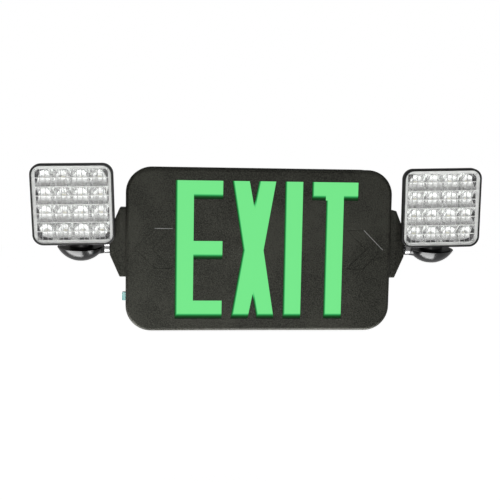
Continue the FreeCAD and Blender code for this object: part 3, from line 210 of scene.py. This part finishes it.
def clear(name, roughness):
    """Clear acrylic with slight changes of sheen."""
    material, tree, principled = shader(name, (1.0, 1.0, 1.0), roughness,
                                        Transmission_Weight=1.0, IOR=1.49)
    sheen(tree, principled, noise(tree, 60, 3), roughness * 0.6, roughness * 1.6)
    return material


MATERIALS = {
    "black_casing": textured_black(),
    "black_knuckle": plain("satin_black", (0.006, 0.006, 0.0062), 0.2, grain=0.02),
    "lamp_black": plain("lamp_black", (0.006, 0.006, 0.006), 0.42, grain=0.05),
    "legend_green": lit_green(),
    "white_reflector": plain("white_tray", (0.85, 0.85, 0.83), 0.3),
    "board_green": plain("board_green", (0.03, 0.2, 0.08), 0.35),
    "board_white": plain("board_white", (0.8, 0.82, 0.8), 0.4),
    "led_yellow": plain("led_phosphor", (0.9, 0.88, 0.74), 0.3),
    "led_green": plain("led_green", (0.2, 0.85, 0.4), 0.3),
    "screw_steel": plain("zinc_steel", (0.62, 0.62, 0.6), 0.3, Metallic=1.0),
    "core_steel": plain("core_steel", (0.3, 0.3, 0.32), 0.4, Metallic=1.0),
    "capacitor_sleeve": plain("capacitor_sleeve", (0.03, 0.04, 0.15), 0.35),
    "terminal_grey": plain("terminal_grey", (0.25, 0.26, 0.27), 0.5),
    "cell_wrap": plain("cell_wrap", (0.1, 0.35, 0.2), 0.3),
    "strap_nylon": plain("strap_nylon", (0.7, 0.7, 0.66), 0.5),
    "switch_black": plain("switch_black", (0.03, 0.03, 0.03), 0.4),
    "teal_button": plain("teal_button", (0.1, 0.6, 0.55), 0.25),
    "clear_lens": clear("clear_lens", 0.04),
    "mirror_cups": plain("mirror_cups", (0.8, 0.81, 0.8), 0.2, spread=0.03, Metallic=1.0),
}

# Pale: the lens's frosted margin and the reflector's flange and walls, and a painted highlight
# on the strips where the lens's ribs meet.
FROSTED_AND_PAINTED_HIGHLIGHT = plain("frosted_edge_and_painted_highlight", (0.88, 0.89, 0.87), 0.45, spread=0.1)
# Pale grey for the ridges on the chevrons' edges: a painted glint.
PAINTED_GLINT = plain("pale_painted_glint", (0.3, 0.3, 0.29), 0.35, scale=300)
# Grey for the strips where the lens's flutes meet: painted shade.
PAINTED_SHADE_LINES = plain("painted_shade_groove", (0.5, 0.5, 0.5), 0.3, spread=0.3, scale=300)
PLATED = plain("plated_ring", (0.3, 0.3, 0.3), 0.25, Metallic=1.0)


def dress(node, material):
    """Puts one material on a node in place of its own."""
    node.data.materials.clear()
    node.data.materials.append(material)


for part in frame["record"]["subparts"]:
    dress(NODES[part["node"]], MATERIALS[part["material_slot"]])
for side in SIDES:
    dress(NODES[f"{side}_neck_ring"], PLATED)


# ------------------------------------------------------------- pieces and outlines

LEVEL_FIT = 0.01 * MM
STRAIGHT = 1e-3


def piece(name, bm, body, materials, replaced=()):
    """A new object from a finished bmesh, riding on a body."""
    mesh = bpy.data.meshes.new(name)
    bm.normal_update()
    bm.to_mesh(mesh)
    bm.free()
    for material in materials:
        mesh.materials.append(material)
    obj = bpy.data.objects.new(name, mesh)
    bpy.context.scene.collection.objects.link(obj)
    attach(obj, body)
    if replaced:
        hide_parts(*replaced)


def weld(bm):
    """Joins vertices at the same place and removes the empty faces this leaves."""
    bmesh.ops.remove_doubles(bm, verts=bm.verts[:], dist=WELD)
    bmesh.ops.dissolve_degenerate(bm, edges=bm.edges[:], dist=WELD)


def sharp_between(bm, degrees):
    """Marks edges sharper than an angle, so that smooth shading stops there."""
    limit = math.radians(degrees)
    for edge in bm.edges:
        edge.smooth = len(edge.link_faces) == 2 and edge.calc_face_angle(0) < limit


def border_edges(mesh, level):
    """The outer edges, from point to point, of a mesh's flat faces at one y level."""
    welded = {}
    border = {}
    for face in mesh.polygons:
        corners = [mesh.vertices[index].co for index in face.vertices]
        if any(abs(corner.y - level) >= LEVEL_FIT for corner in corners):
            continue
        ring = [welded.setdefault(tuple(round(value, 6) for value in corner), tuple(corner))
                for corner in corners]
        for start, end in zip(ring, ring[1:] + ring[:1]):
            if (end, start) in border:
                del border[(end, start)]
            else:
                border[(start, end)] = True
    return border


def loops_at(node, level):
    """The closed outlines, as (x, z) points, of a node's flat faces at one y level."""
    follow = {start: end for start, end in border_edges(NODES[node].data, level)}
    loops = []
    while follow:
        start, point = follow.popitem()
        loop = [start]
        while point != start:
            loop.append(point)
            point = follow.pop(point)
        loops.append([Vector((x, z)) for x, y, z in loop])
    return loops


def sides_of(loop):
    """A closed outline's edges, each as its two ends."""
    return zip(loop, loop[1:] + loop[:1])


def without_straight(loop):
    """The outline's corners only."""
    corners = []
    for before, point, after in zip([loop[-1]] + loop[:-1], loop, loop[1:] + loop[:1]):
        turn = (point - before).normalized().cross((after - point).normalized())
        if abs(turn) > STRAIGHT:
            corners.append(point)
    return corners


def span(loop, axis):
    """How far an outline reaches, across (axis 0) or up (axis 1)."""
    values = [point[axis] for point in loop]
    return max(values) - min(values)


def area(loop):
    """The area inside an outline, negative where it runs clockwise."""
    return sum(a.x * b.y - b.x * a.y for a, b in sides_of(loop)) / 2


OPENINGS = [without_straight(loop) for loop in loops_at("faceplate", PLATE_FRONT)]


# ------------------------------------------------------------------ the legend

# Openings are told apart by their height as a share of the plate's.
NEAR = 0.01 * MM
PAST_CORNER = 1.5 * MM
FACING = 0.5
LETTER_SHARE = (0.6, 0.93)
LETTER_RISE = 0.9 * MM
# Painted shade bands along each letter's lower and left edges: their widths, the darkest the
# left band gets, and the steps of the bands.
SHADE_LOW = 5.6 * MM
SHADE_LEFT = 2.8 * MM
LEFT_DARKEST = 0.3
SHADE_PARTS = (0.25, 0.45, 0.65, 0.85, 1.0)
EDGE_CUT = 0.05 * MM
CUT_FIT = 1e-6
FAR = 1.0


def turns_out(before, corner, after):
    """Whether an outline, walked with its inside on the left, turns left at a corner."""
    a, b = corner - before, after - corner
    return a.x * b.y - a.y * b.x > 0


def crossing(loop, point, axis):
    """How far the outline lies from a point, straight down (axis 1) or straight left (axis 0).

    An edge counts a little past its ends too, where the outline turns outward."""
    other = 1 - axis
    best = FAR
    for number, start in enumerate(loop):
        end, after = (loop[(number + step) % len(loop)] for step in (1, 2))
        along = (end - start).normalized()
        if (along.x if axis else -along.y) < FACING:
            continue
        past_start = PAST_CORNER if turns_out(loop[number - 1], start, end) else NEAR
        past_end = PAST_CORNER if turns_out(start, end, after) else NEAR
        length = abs(end[other] - start[other])
        share = (point[other] - start[other]) / (end[other] - start[other])
        if not -past_start <= share * length <= length + past_end:
            continue
        share = min(max(share, 0.0), 1.0)
        gap = point[axis] - (start[axis] + share * (end[axis] - start[axis]))
        if gap > -NEAR:
            best = min(best, max(gap, 0.0))
    return best


def painted_shade_at(loop, vert):
    """How far a point of a letter is out of the painted shade bands, from 0 (darkest) to 1."""
    place = Vector((vert.co.x, vert.co.z))
    low = min(crossing(loop, place, 1) / SHADE_LOW, 1)
    left = min(crossing(loop, place, 0) / SHADE_LEFT, 1)
    return min(low, LEFT_DARKEST + (1 - LEFT_DARKEST) * left)


def cut_letter(bm, loop):
    """Cuts a flat letter along lines beside its lower and left edges, where its painted shade
    changes.
    """
    for start, end in sides_of(loop):
        along = (end - start).normalized()
        outward = Vector((along.y, -along.x))
        cuts = [-EDGE_CUT * outward, EDGE_CUT * outward]
        if outward.y < -FACING:
            cuts += [Vector((0, SHADE_LOW * part)) for part in SHADE_PARTS]
        elif outward.x < -FACING:
            cuts += [Vector((SHADE_LEFT * part, 0)) for part in SHADE_PARTS]
        for cut in cuts:
            at = (start + end) / 2 + cut
            bmesh.ops.bisect_plane(bm, geom=bm.verts[:] + bm.edges[:] + bm.faces[:],
                                   dist=CUT_FIT, plane_co=(at.x, 0, at.y),
                                   plane_no=(outward.x, 0, outward.y))


def flat_letter(loop):
    """A letter's face as triangles, cut where its painted shade changes."""
    flat = bmesh.new()
    flat.faces.new([flat.verts.new((point.x, 0, point.y)) for point in loop])
    cut_letter(flat, loop)
    bmesh.ops.triangulate(flat, faces=flat.faces[:])
    flat.verts.ensure_lookup_table()
    return flat


def add_letter(whole, loop, front, back):
    """One letter: its face at the front level and its sides from there to the back level."""
    shade = whole.verts.layers.float["shade"]
    flat = flat_letter(loop)
    values = [painted_shade_at(loop, vert) for vert in flat.verts]

    def copy_at(level, vert):
        new = whole.verts.new((vert.co.x, level, vert.co.z))
        new[shade] = values[vert.index]
        return new

    fronts = [copy_at(front, vert) for vert in flat.verts]
    for face in flat.faces:
        whole.faces.new([fronts[vert.index] for vert in face.verts])
    rim = [edge.verts for edge in flat.edges if len(edge.link_faces) == 1]
    backs = {}
    for ends in rim:
        for vert in ends:
            if vert.index not in backs:
                backs[vert.index] = copy_at(back, vert)
    for ends in rim:
        a, b = (vert.index for vert in ends)
        whole.faces.new([fronts[a], fronts[b], backs[b], backs[a]])
    flat.free()


def build_letters():
    """The letter fields of the diffuser, standing up into the plate's openings, with painted
    shade along their lower and left edges.
    """
    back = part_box("legend_diffuser")[0].y
    whole = bmesh.new()
    whole.verts.layers.float.new("shade")
    for loop in OPENINGS:
        if LETTER_SHARE[0] < span(loop, 1) / PLATE_HIGH < LETTER_SHARE[1]:
            add_letter(whole, loop if area(loop) > 0 else loop[::-1], back - LETTER_RISE, back)
    bmesh.ops.recalc_face_normals(whole, faces=whole.faces[:])
    piece("legend_letters", whole, "housing", [painted_shade_letter_green()])


# ---------------------------------------------------------------- the chevrons

CHEVRON_SHARE = 0.4
GLINT_WIDE = 0.8 * MM
GLINT_PROUD = 0.12 * MM
RIDGE_FACES = ((0, 1, 5, 4), (1, 2, 5), (2, 3, 4, 5), (3, 0, 4), (3, 2, 1, 0))


def bright_edge(loop, side):
    """A chevron's edge that gets a painted glint: its top on the left, its tip's on the right.
    """
    top = max(point.y for point in loop)
    upper = [(a, b) for a, b in sides_of(loop) if a.y + b.y > top]
    if side < 0:
        return min(upper, key=lambda ends: abs(ends[0].y - ends[1].y) - ends[0].y)
    return max(upper, key=lambda ends: max(ends[0].x, ends[1].x))


def add_ridge(bm, a, b):
    """A low ridge on the plate from one point to another."""
    along = (b - a).normalized()
    across = Vector((-along.y, along.x)) * GLINT_WIDE / 2
    crest = PLATE_FRONT - GLINT_PROUD
    foot = [(place, PLATE_FRONT) for place in (a - across, b - across, b + across, a + across)]
    ridge = [(a + along * GLINT_WIDE, crest), (b - along * GLINT_WIDE, crest)]
    verts = [bm.verts.new((place.x, y, place.y)) for place, y in foot + ridge]
    for ring in RIDGE_FACES:
        bm.faces.new([verts[number] for number in ring])


def build_painted_glint():
    """A low pale ridge on one edge of each chevron's groove: a painted glint."""
    small = [loop for loop in OPENINGS if span(loop, 1) < CHEVRON_SHARE * PLATE_HIGH]
    bm = bmesh.new()
    for side in (-1, 1):
        chevron = max((loop for loop in small if side * loop[0].x > 0),
                      key=lambda loop: span(loop, 1))
        add_ridge(bm, *bright_edge(chevron, side))
    bmesh.ops.recalc_face_normals(bm, faces=bm.faces[:])
    piece("chevron_painted_glint", bm, "housing", [PAINTED_GLINT])


# ------------------------------------------------------------------- the lamps

SAME_WAY = 0.9999


def lens_way_out(mesh):
    """The way the lens's face looks: of its flat faces to the front, the one with most area."""
    facing = {}
    for face in mesh.polygons:
        key = tuple(round(value, 3) for value in face.normal)
        facing[key] = facing.get(key, 0) + face.area
    return Vector(max((key for key in facing if key[1] < 0), key=facing.get)).normalized()


def lens_right(mesh, front):
    """The way across the lens's face, along its longest level border edge."""
    keys = [key for face in front for key in face.edge_keys]
    border = [mesh.vertices[b].co - mesh.vertices[a].co for a, b in keys
              if keys.count((a, b)) == 1]
    level = [edge for edge in border if abs(edge.x) > abs(edge.z)]
    right = max(level, key=lambda edge: edge.length).normalized()
    return right * (1 if right.x > 0 else -1)


def lamp_axes(side):
    """A lamp's own axes, right, up and out, with the lens face's centre as origin."""
    mesh = NODES[f"{side}_lens"].data
    out = lens_way_out(mesh)
    front = [face for face in mesh.polygons if face.normal.dot(out) > SAME_WAY]
    right = lens_right(mesh, front)
    up = out.cross(right)
    points = [mesh.vertices[index].co for face in front for index in face.vertices]
    middle = Vector()
    for axis in (right, up, out):
        values = [point.dot(axis) for point in points]
        middle += axis * (min(values) + max(values)) / 2
    turn = Matrix((right, up, out)).transposed().to_4x4()
    return Matrix.Translation(middle) @ turn


def extent(node, axes):
    """A node's lowest and highest corner in a lamp's own axes."""
    back = axes.inverted()
    points = [back @ vert.co for vert in NODES[node].data.vertices]
    return (Vector([min(point[i] for point in points) for i in range(3)]),
            Vector([max(point[i] for point in points) for i in range(3)]))


def into_corner(x, z, half_x, half_z, corner):
    """A point kept inside a rounded rectangle."""
    over_x = abs(x) - (half_x - corner)
    over_z = abs(z) - (half_z - corner)
    reach = math.hypot(over_x, over_z)
    if over_x <= 0 or over_z <= 0 or reach <= corner:
        return x, z
    pull = corner / reach
    return (math.copysign(half_x - corner + over_x * pull, x),
            math.copysign(half_z - corner + over_z * pull, z))


# ------------------------------------------------------------------ the lenses

CUPS = 4
CUP_PITCH = 19.4 * MM
FIELD = CUPS * CUP_PITCH / 2
RIB_ROWS = 8
FLUTES = 14
RIB_STEP = 2 * FIELD / RIB_ROWS
FLUTE_STEP = 2 * FIELD / FLUTES
RIB_BULGE = 0.95 * MM
FLUTE_BULGE = 0.4 * MM
# Strips where the ribs meet carry a painted highlight, strips where the flutes meet painted
# shade.
RIB_STRIP = 0.05
FLUTE_STRIP = 0.07
ARCH_SHARES = (0.3, 0.5, 0.7)
LENS_CORNER = 9.0 * MM
LENS_EDGE_DROP = 0.5 * MM
LENS_EDGE_SHARE = 0.25
NARROW = 1.5
LENS_SMOOTH_BELOW = 25
CLEAR_INDEX, FROSTED_AND_HIGHLIGHT_INDEX, PAINTED_SHADE_INDEX = range(3)


def stations(count, strip, half):
    """Places across a lens: its edge, each arch with a narrow strip at both ends, its edge."""
    step = 2 * FIELD / count
    shares = (strip, *ARCH_SHARES, 1 - strip, 1.0)
    inner = [-FIELD] + [-FIELD + step * (number + share)
                        for number in range(count) for share in shares]
    edge = [-half, -half + LENS_EDGE_SHARE * (half - FIELD)]
    return edge + inner + [-value for value in reversed(edge)]


def arch(place, count):
    """The height, 0 to 1, of a row of equal arches over the rib field."""
    if abs(place) >= FIELD:
        return 0.0
    share = (place + FIELD) / (2 * FIELD) * count % 1
    return 1 - (2 * share - 1) ** 2


def back_index(left, right, low, high):
    """The material index for the face of the lens's back between four places: pale at the
    margin and, as a painted highlight, on the strips where ribs meet; grey, as painted shade,
    on the strips where flutes meet.
    """
    if max(abs(left + right), abs(low + high)) / 2 > FIELD:
        return FROSTED_AND_HIGHLIGHT_INDEX
    if high - low < NARROW * RIB_STRIP * RIB_STEP:
        return FROSTED_AND_HIGHLIGHT_INDEX
    if right - left < NARROW * FLUTE_STRIP * FLUTE_STEP:
        return PAINTED_SHADE_INDEX
    return CLEAR_INDEX


def lens_points(bm, axes, across, down, thick):
    """The lens's front and back vertices, by their place in the grid of stations."""
    half_x, half_z = across[-1], down[-1]
    front, back = {}, {}
    for i, x in enumerate(across):
        for j, z in enumerate(down):
            px, pz = into_corner(x, z, half_x, half_z, LENS_CORNER)
            edge = i in (0, len(across) - 1) or j in (0, len(down) - 1)
            bulge = RIB_BULGE * arch(z, RIB_ROWS) + FLUTE_BULGE * arch(x, FLUTES)
            deep = thick - RIB_BULGE - FLUTE_BULGE + bulge
            top = -LENS_EDGE_DROP if edge else 0
            front[i, j] = bm.verts.new(axes @ Vector((px, pz, top)))
            back[i, j] = bm.verts.new(axes @ Vector((px, pz, -deep)))
    return front, back


def build_lens(side, axes):
    """A clear lens, smooth in front, with ribs across and flutes down its back."""
    low, high = extent(f"{side}_lens", axes)
    across = stations(FLUTES, FLUTE_STRIP, high.x)
    down = stations(RIB_ROWS, RIB_STRIP, high.y)
    bm = bmesh.new()
    front, back = lens_points(bm, axes, across, down, high.z - low.z)
    wide, tall = len(across) - 1, len(down) - 1
    for i in range(wide):
        for j in range(tall):
            ring = [(i, j), (i + 1, j), (i + 1, j + 1), (i, j + 1)]
            bm.faces.new([front[key] for key in ring])
            behind = bm.faces.new([back[key] for key in reversed(ring)])
            behind.material_index = back_index(across[i], across[i + 1], down[j], down[j + 1])
    border = ([(i, 0) for i in range(wide)] + [(wide, j) for j in range(tall)]
              + [(i, tall) for i in range(wide, 0, -1)] + [(0, j) for j in range(tall, 0, -1)])
    for a, b in sides_of(border):
        bm.faces.new([front[b], front[a], back[a], back[b]])
    weld(bm)
    bmesh.ops.recalc_face_normals(bm, faces=bm.faces[:])
    for face in bm.faces:
        face.smooth = True
    sharp_between(bm, LENS_SMOOTH_BELOW)
    piece(f"{side}_ribbed_lens", bm, f"{side}_head",
          [MATERIALS["clear_lens"], FROSTED_AND_PAINTED_HIGHLIGHT, PAINTED_SHADE_LINES], [f"{side}_lens"])


# -------------------------------------------------------------- the reflectors

# A lower angle than the lens's keeps the scalloped ridges between bowls crisp.
CUP_STEPS = 16
CUP_FLOOR = 3.2 * MM
TRAY_FLOOR = 0.8 * MM
LENS_FIT = 0.4 * MM
FLANGE_TOP = 2.3 * MM
FLANGE_FOOT = 3.5 * MM
FLANGE_STEPS = 12
TRAY_SMOOTH_BELOW = 20
PALE_INDEX = 1


def add_flange(bm, axes, mouth, lens):
    """A pale sloping frame round the bowls, out to the lens's edge."""
    square = [(-1 + 2 * number / FLANGE_STEPS, -1) for number in range(FLANGE_STEPS)]
    for turn in range(3):
        square += [(-z, x) for x, z in square[-FLANGE_STEPS:]]
    rings = []
    for half_x, half_z, corner, level in (
            (lens.x - LENS_FIT, lens.y - LENS_FIT, LENS_CORNER - LENS_FIT, lens.z - FLANGE_TOP),
            (FIELD, FIELD, 0.0, lens.z - FLANGE_FOOT), (FIELD, FIELD, 0.0, mouth)):
        ring = []
        for x, z in square:
            px, pz = x * half_x, z * half_z
            if corner:
                px, pz = into_corner(px, pz, half_x, half_z, corner)
            ring.append(bm.verts.new(axes @ Vector((px, pz, level))))
        rings.append(ring)
    for outer, inner in zip(rings, rings[1:]):
        for (a, b), (c, d) in zip(sides_of(outer), sides_of(inner)):
            bm.faces.new([a, b, d, c]).material_index = PALE_INDEX


def bowl_height(x, z, mouth, deep):
    """A round bowl's height at a place: a flat floor, then a slope up to the bowl's corners."""
    rise = deep / ((CUP_PITCH / math.sqrt(2)) ** 2 - CUP_FLOOR ** 2)
    return mouth - deep + rise * max(x * x + z * z - CUP_FLOOR ** 2, 0)


def add_bowl(bm, axes, column, row, mouth, deep):
    """One bowl of the tray; returns its vertices by their place in its grid."""
    middle_x = -FIELD + (column + 0.5) * CUP_PITCH
    middle_z = -FIELD + (row + 0.5) * CUP_PITCH
    grid = {}
    for i in range(CUP_STEPS + 1):
        for j in range(CUP_STEPS + 1):
            x = (i / CUP_STEPS - 0.5) * CUP_PITCH
            z = (j / CUP_STEPS - 0.5) * CUP_PITCH
            place = (middle_x + x, middle_z + z, bowl_height(x, z, mouth, deep))
            grid[i, j] = bm.verts.new(axes @ Vector(place))
    for i in range(CUP_STEPS):
        for j in range(CUP_STEPS):
            ring = [grid[i, j], grid[i + 1, j], grid[i + 1, j + 1], grid[i, j + 1]]
            bm.faces.new(ring).smooth = True
    return grid


def wall_up(bm, axes, foot, mouth):
    """A pale wall from a bowl's outer rim up to the mouth's level."""
    top = []
    for vert in foot:
        place = axes.inverted() @ vert.co
        top.append(bm.verts.new(axes @ Vector((place.x, place.y, mouth))))
    for a, b, c, d in zip(foot, foot[1:], top[1:], top):
        if a.co != d.co or b.co != c.co:
            bm.faces.new([a, b, c, d]).material_index = PALE_INDEX


def build_reflector(side, axes):
    """A plated tray of round bowls that meet in scalloped ridges, in a pale flange."""
    low, high = extent(f"{side}_reflector", axes)
    mouth = high.z
    deep = high.z - low.z - TRAY_FLOOR
    steps = range(CUP_STEPS + 1)
    last = CUPS - 1
    bm = bmesh.new()
    for column in range(CUPS):
        for row in range(CUPS):
            grid = add_bowl(bm, axes, column, row, mouth, deep)
            for at_rim, keys in (
                    (column == 0, [(0, j) for j in steps]),
                    (column == last, [(CUP_STEPS, j) for j in reversed(steps)]),
                    (row == 0, [(i, 0) for i in reversed(steps)]),
                    (row == last, [(i, CUP_STEPS) for i in steps])):
                if at_rim:
                    wall_up(bm, axes, [grid[key] for key in keys], mouth)
    add_flange(bm, axes, mouth, extent(f"{side}_lens", axes)[1])
    weld(bm)
    sharp_between(bm, TRAY_SMOOTH_BELOW)
    piece(f"{side}_cup_reflector", bm, f"{side}_head",
          [MATERIALS["mirror_cups"], FROSTED_AND_PAINTED_HIGHLIGHT], [f"{side}_reflector"])


# ------------------------------------------------------------------- the stage

HORIZON_GLOW = 0.35
CEILING_GLOW = 0.12
CEILING_FROM = 0.5
HORIZON_THROUGH_LENS = 1.1
CEILING_THROUGH_LENS = 0.4
CEILING_THROUGH_LENS_FROM = 0.4
FLOOR_DROP = 0.25
FLOOR_REACH = 3.0
FLOOR_SEEN = 0.88
FLOOR_MIRRORED = 0.3
FLOOR_THROUGH_LENS = 1.9
TABLE_DROP = 0.22
TABLE_Y = -0.05
CAMERA_AT = Vector((-0.11256, -1.04908, 0.11268))
YAW, PITCH, ROLL = 0.10073, 0.11078, 0.01785
FOCAL_LENGTH_MM = 66.29
SENSOR_MM = 36


def build_floor():
    """A pale floor, which also shows as pale in metal and behind glass."""
    level = cad_box[0][2] - FLOOR_DROP
    reach = FLOOR_REACH
    mesh = bpy.data.meshes.new("floor")
    mesh.from_pydata([(-reach, -reach, level), (reach, -reach, level), (reach, reach, level),
                      (-reach, reach, level)], [], [(0, 1, 2, 3)])
    floor = bpy.data.objects.new("floor", mesh)
    bpy.context.scene.collection.objects.link(floor)
    material, tree, principled = shader("pale_floor", (0.82, 0.82, 0.82), 0.9,
                                        Emission_Color=(1, 1, 1, 1))
    seen = add(tree, "ShaderNodeLightPath")
    glow = 0.0
    for ray, strength in (("Is Camera Ray", FLOOR_SEEN), ("Is Glossy Ray", FLOOR_MIRRORED),
                          ("Is Transmission Ray", FLOOR_THROUGH_LENS)):
        glow = calculate(tree, "MAXIMUM", ramp(tree, seen.outputs[ray], 0.0, strength), glow)
    tree.links.new(glow, principled.inputs["Emission Strength"])
    mesh.materials.append(material)


def build_world():
    """White to the camera. What it lights and mirrors is pale at the horizon, dim overhead."""
    world = bpy.data.worlds.new("studio")
    bpy.context.scene.world = world
    world.use_nodes = True
    tree = world.node_tree
    tree.nodes.clear()
    seen = add(tree, "ShaderNodeLightPath")
    direction = add(tree, "ShaderNodeTexCoord").outputs["Generated"]
    height = add(tree, "ShaderNodeSeparateXYZ", {0: direction}).outputs["Z"]
    room = ramp(tree, height, HORIZON_GLOW, CEILING_GLOW, 0.0, CEILING_FROM)
    through = ramp(tree, height, HORIZON_THROUGH_LENS, CEILING_THROUGH_LENS, 0.0,
                   CEILING_THROUGH_LENS_FROM)
    through = calculate(tree, "MULTIPLY", seen.outputs["Is Transmission Ray"], through)
    glow = calculate(tree, "MAXIMUM", room, through)
    strength = calculate(tree, "MAXIMUM", seen.outputs["Is Camera Ray"], glow)
    ground = add(tree, "ShaderNodeBackground", {"Color": (1, 1, 1, 1), "Strength": strength})
    out = add(tree, "ShaderNodeOutputWorld")
    tree.links.new(ground.outputs[0], out.inputs["Surface"])


def area_light(name, at, aim, wide, high, watts):
    """A soft light that neither the camera nor the view through the lenses shows."""
    lamp = bpy.data.lights.new(name, "AREA")
    lamp.shape = "RECTANGLE"
    lamp.size = wide
    lamp.size_y = high
    lamp.energy = watts
    obj = bpy.data.objects.new(name, lamp)
    obj.location = at
    obj.rotation_euler = (Vector(aim) - Vector(at)).to_track_quat("-Z", "Y").to_euler()
    obj.visible_transmission = False
    obj.visible_camera = False
    bpy.context.scene.collection.objects.link(obj)


def build_lights():
    """A low light in front, two under the bowls, and a wide one from above."""
    area_light("key", at=(-0.15, -1.15, -0.28), aim=(-0.1, 0, -0.05), wide=0.28, high=0.12,
               watts=2.6)
    for name, x in (("table_left", -0.34), ("table_right", 0.1)):
        area_light(name, at=(x, TABLE_Y, cad_box[0][2] - TABLE_DROP), aim=(x, TABLE_Y, 0),
                   wide=0.32, high=0.2, watts=1.7)
    area_light("top", at=(0.1, -0.7, 1.1), aim=(0, 0, 0), wide=0.9, high=0.6, watts=2)


def build_camera():
    """The camera, a little above the sign and left of its middle, turned to the right."""
    data = bpy.data.cameras.new("camera")
    data.sensor_width = SENSOR_MM
    data.lens = FOCAL_LENGTH_MM
    data.clip_start = 0.01
    camera = bpy.data.objects.new("camera", data)
    ahead = Vector((math.sin(YAW) * math.cos(PITCH), math.cos(YAW) * math.cos(PITCH),
                    -math.sin(PITCH)))
    level = Vector((math.cos(YAW), -math.sin(YAW), 0))
    upright = level.cross(ahead)
    right = math.cos(ROLL) * level + math.sin(ROLL) * upright
    up = -math.sin(ROLL) * level + math.cos(ROLL) * upright
    turn = Matrix((right, up, -ahead)).transposed().to_4x4()
    camera.matrix_world = Matrix.Translation(CAMERA_AT) @ turn
    bpy.context.scene.collection.objects.link(camera)
    bpy.context.scene.camera = camera


build_letters()
build_painted_glint()
for side in SIDES:
    axes = lamp_axes(side)
    build_lens(side, axes)
    build_reflector(side, axes)
build_floor()
build_world()
build_lights()
build_camera()
bpy.context.scene.view_settings.view_transform = "Standard"
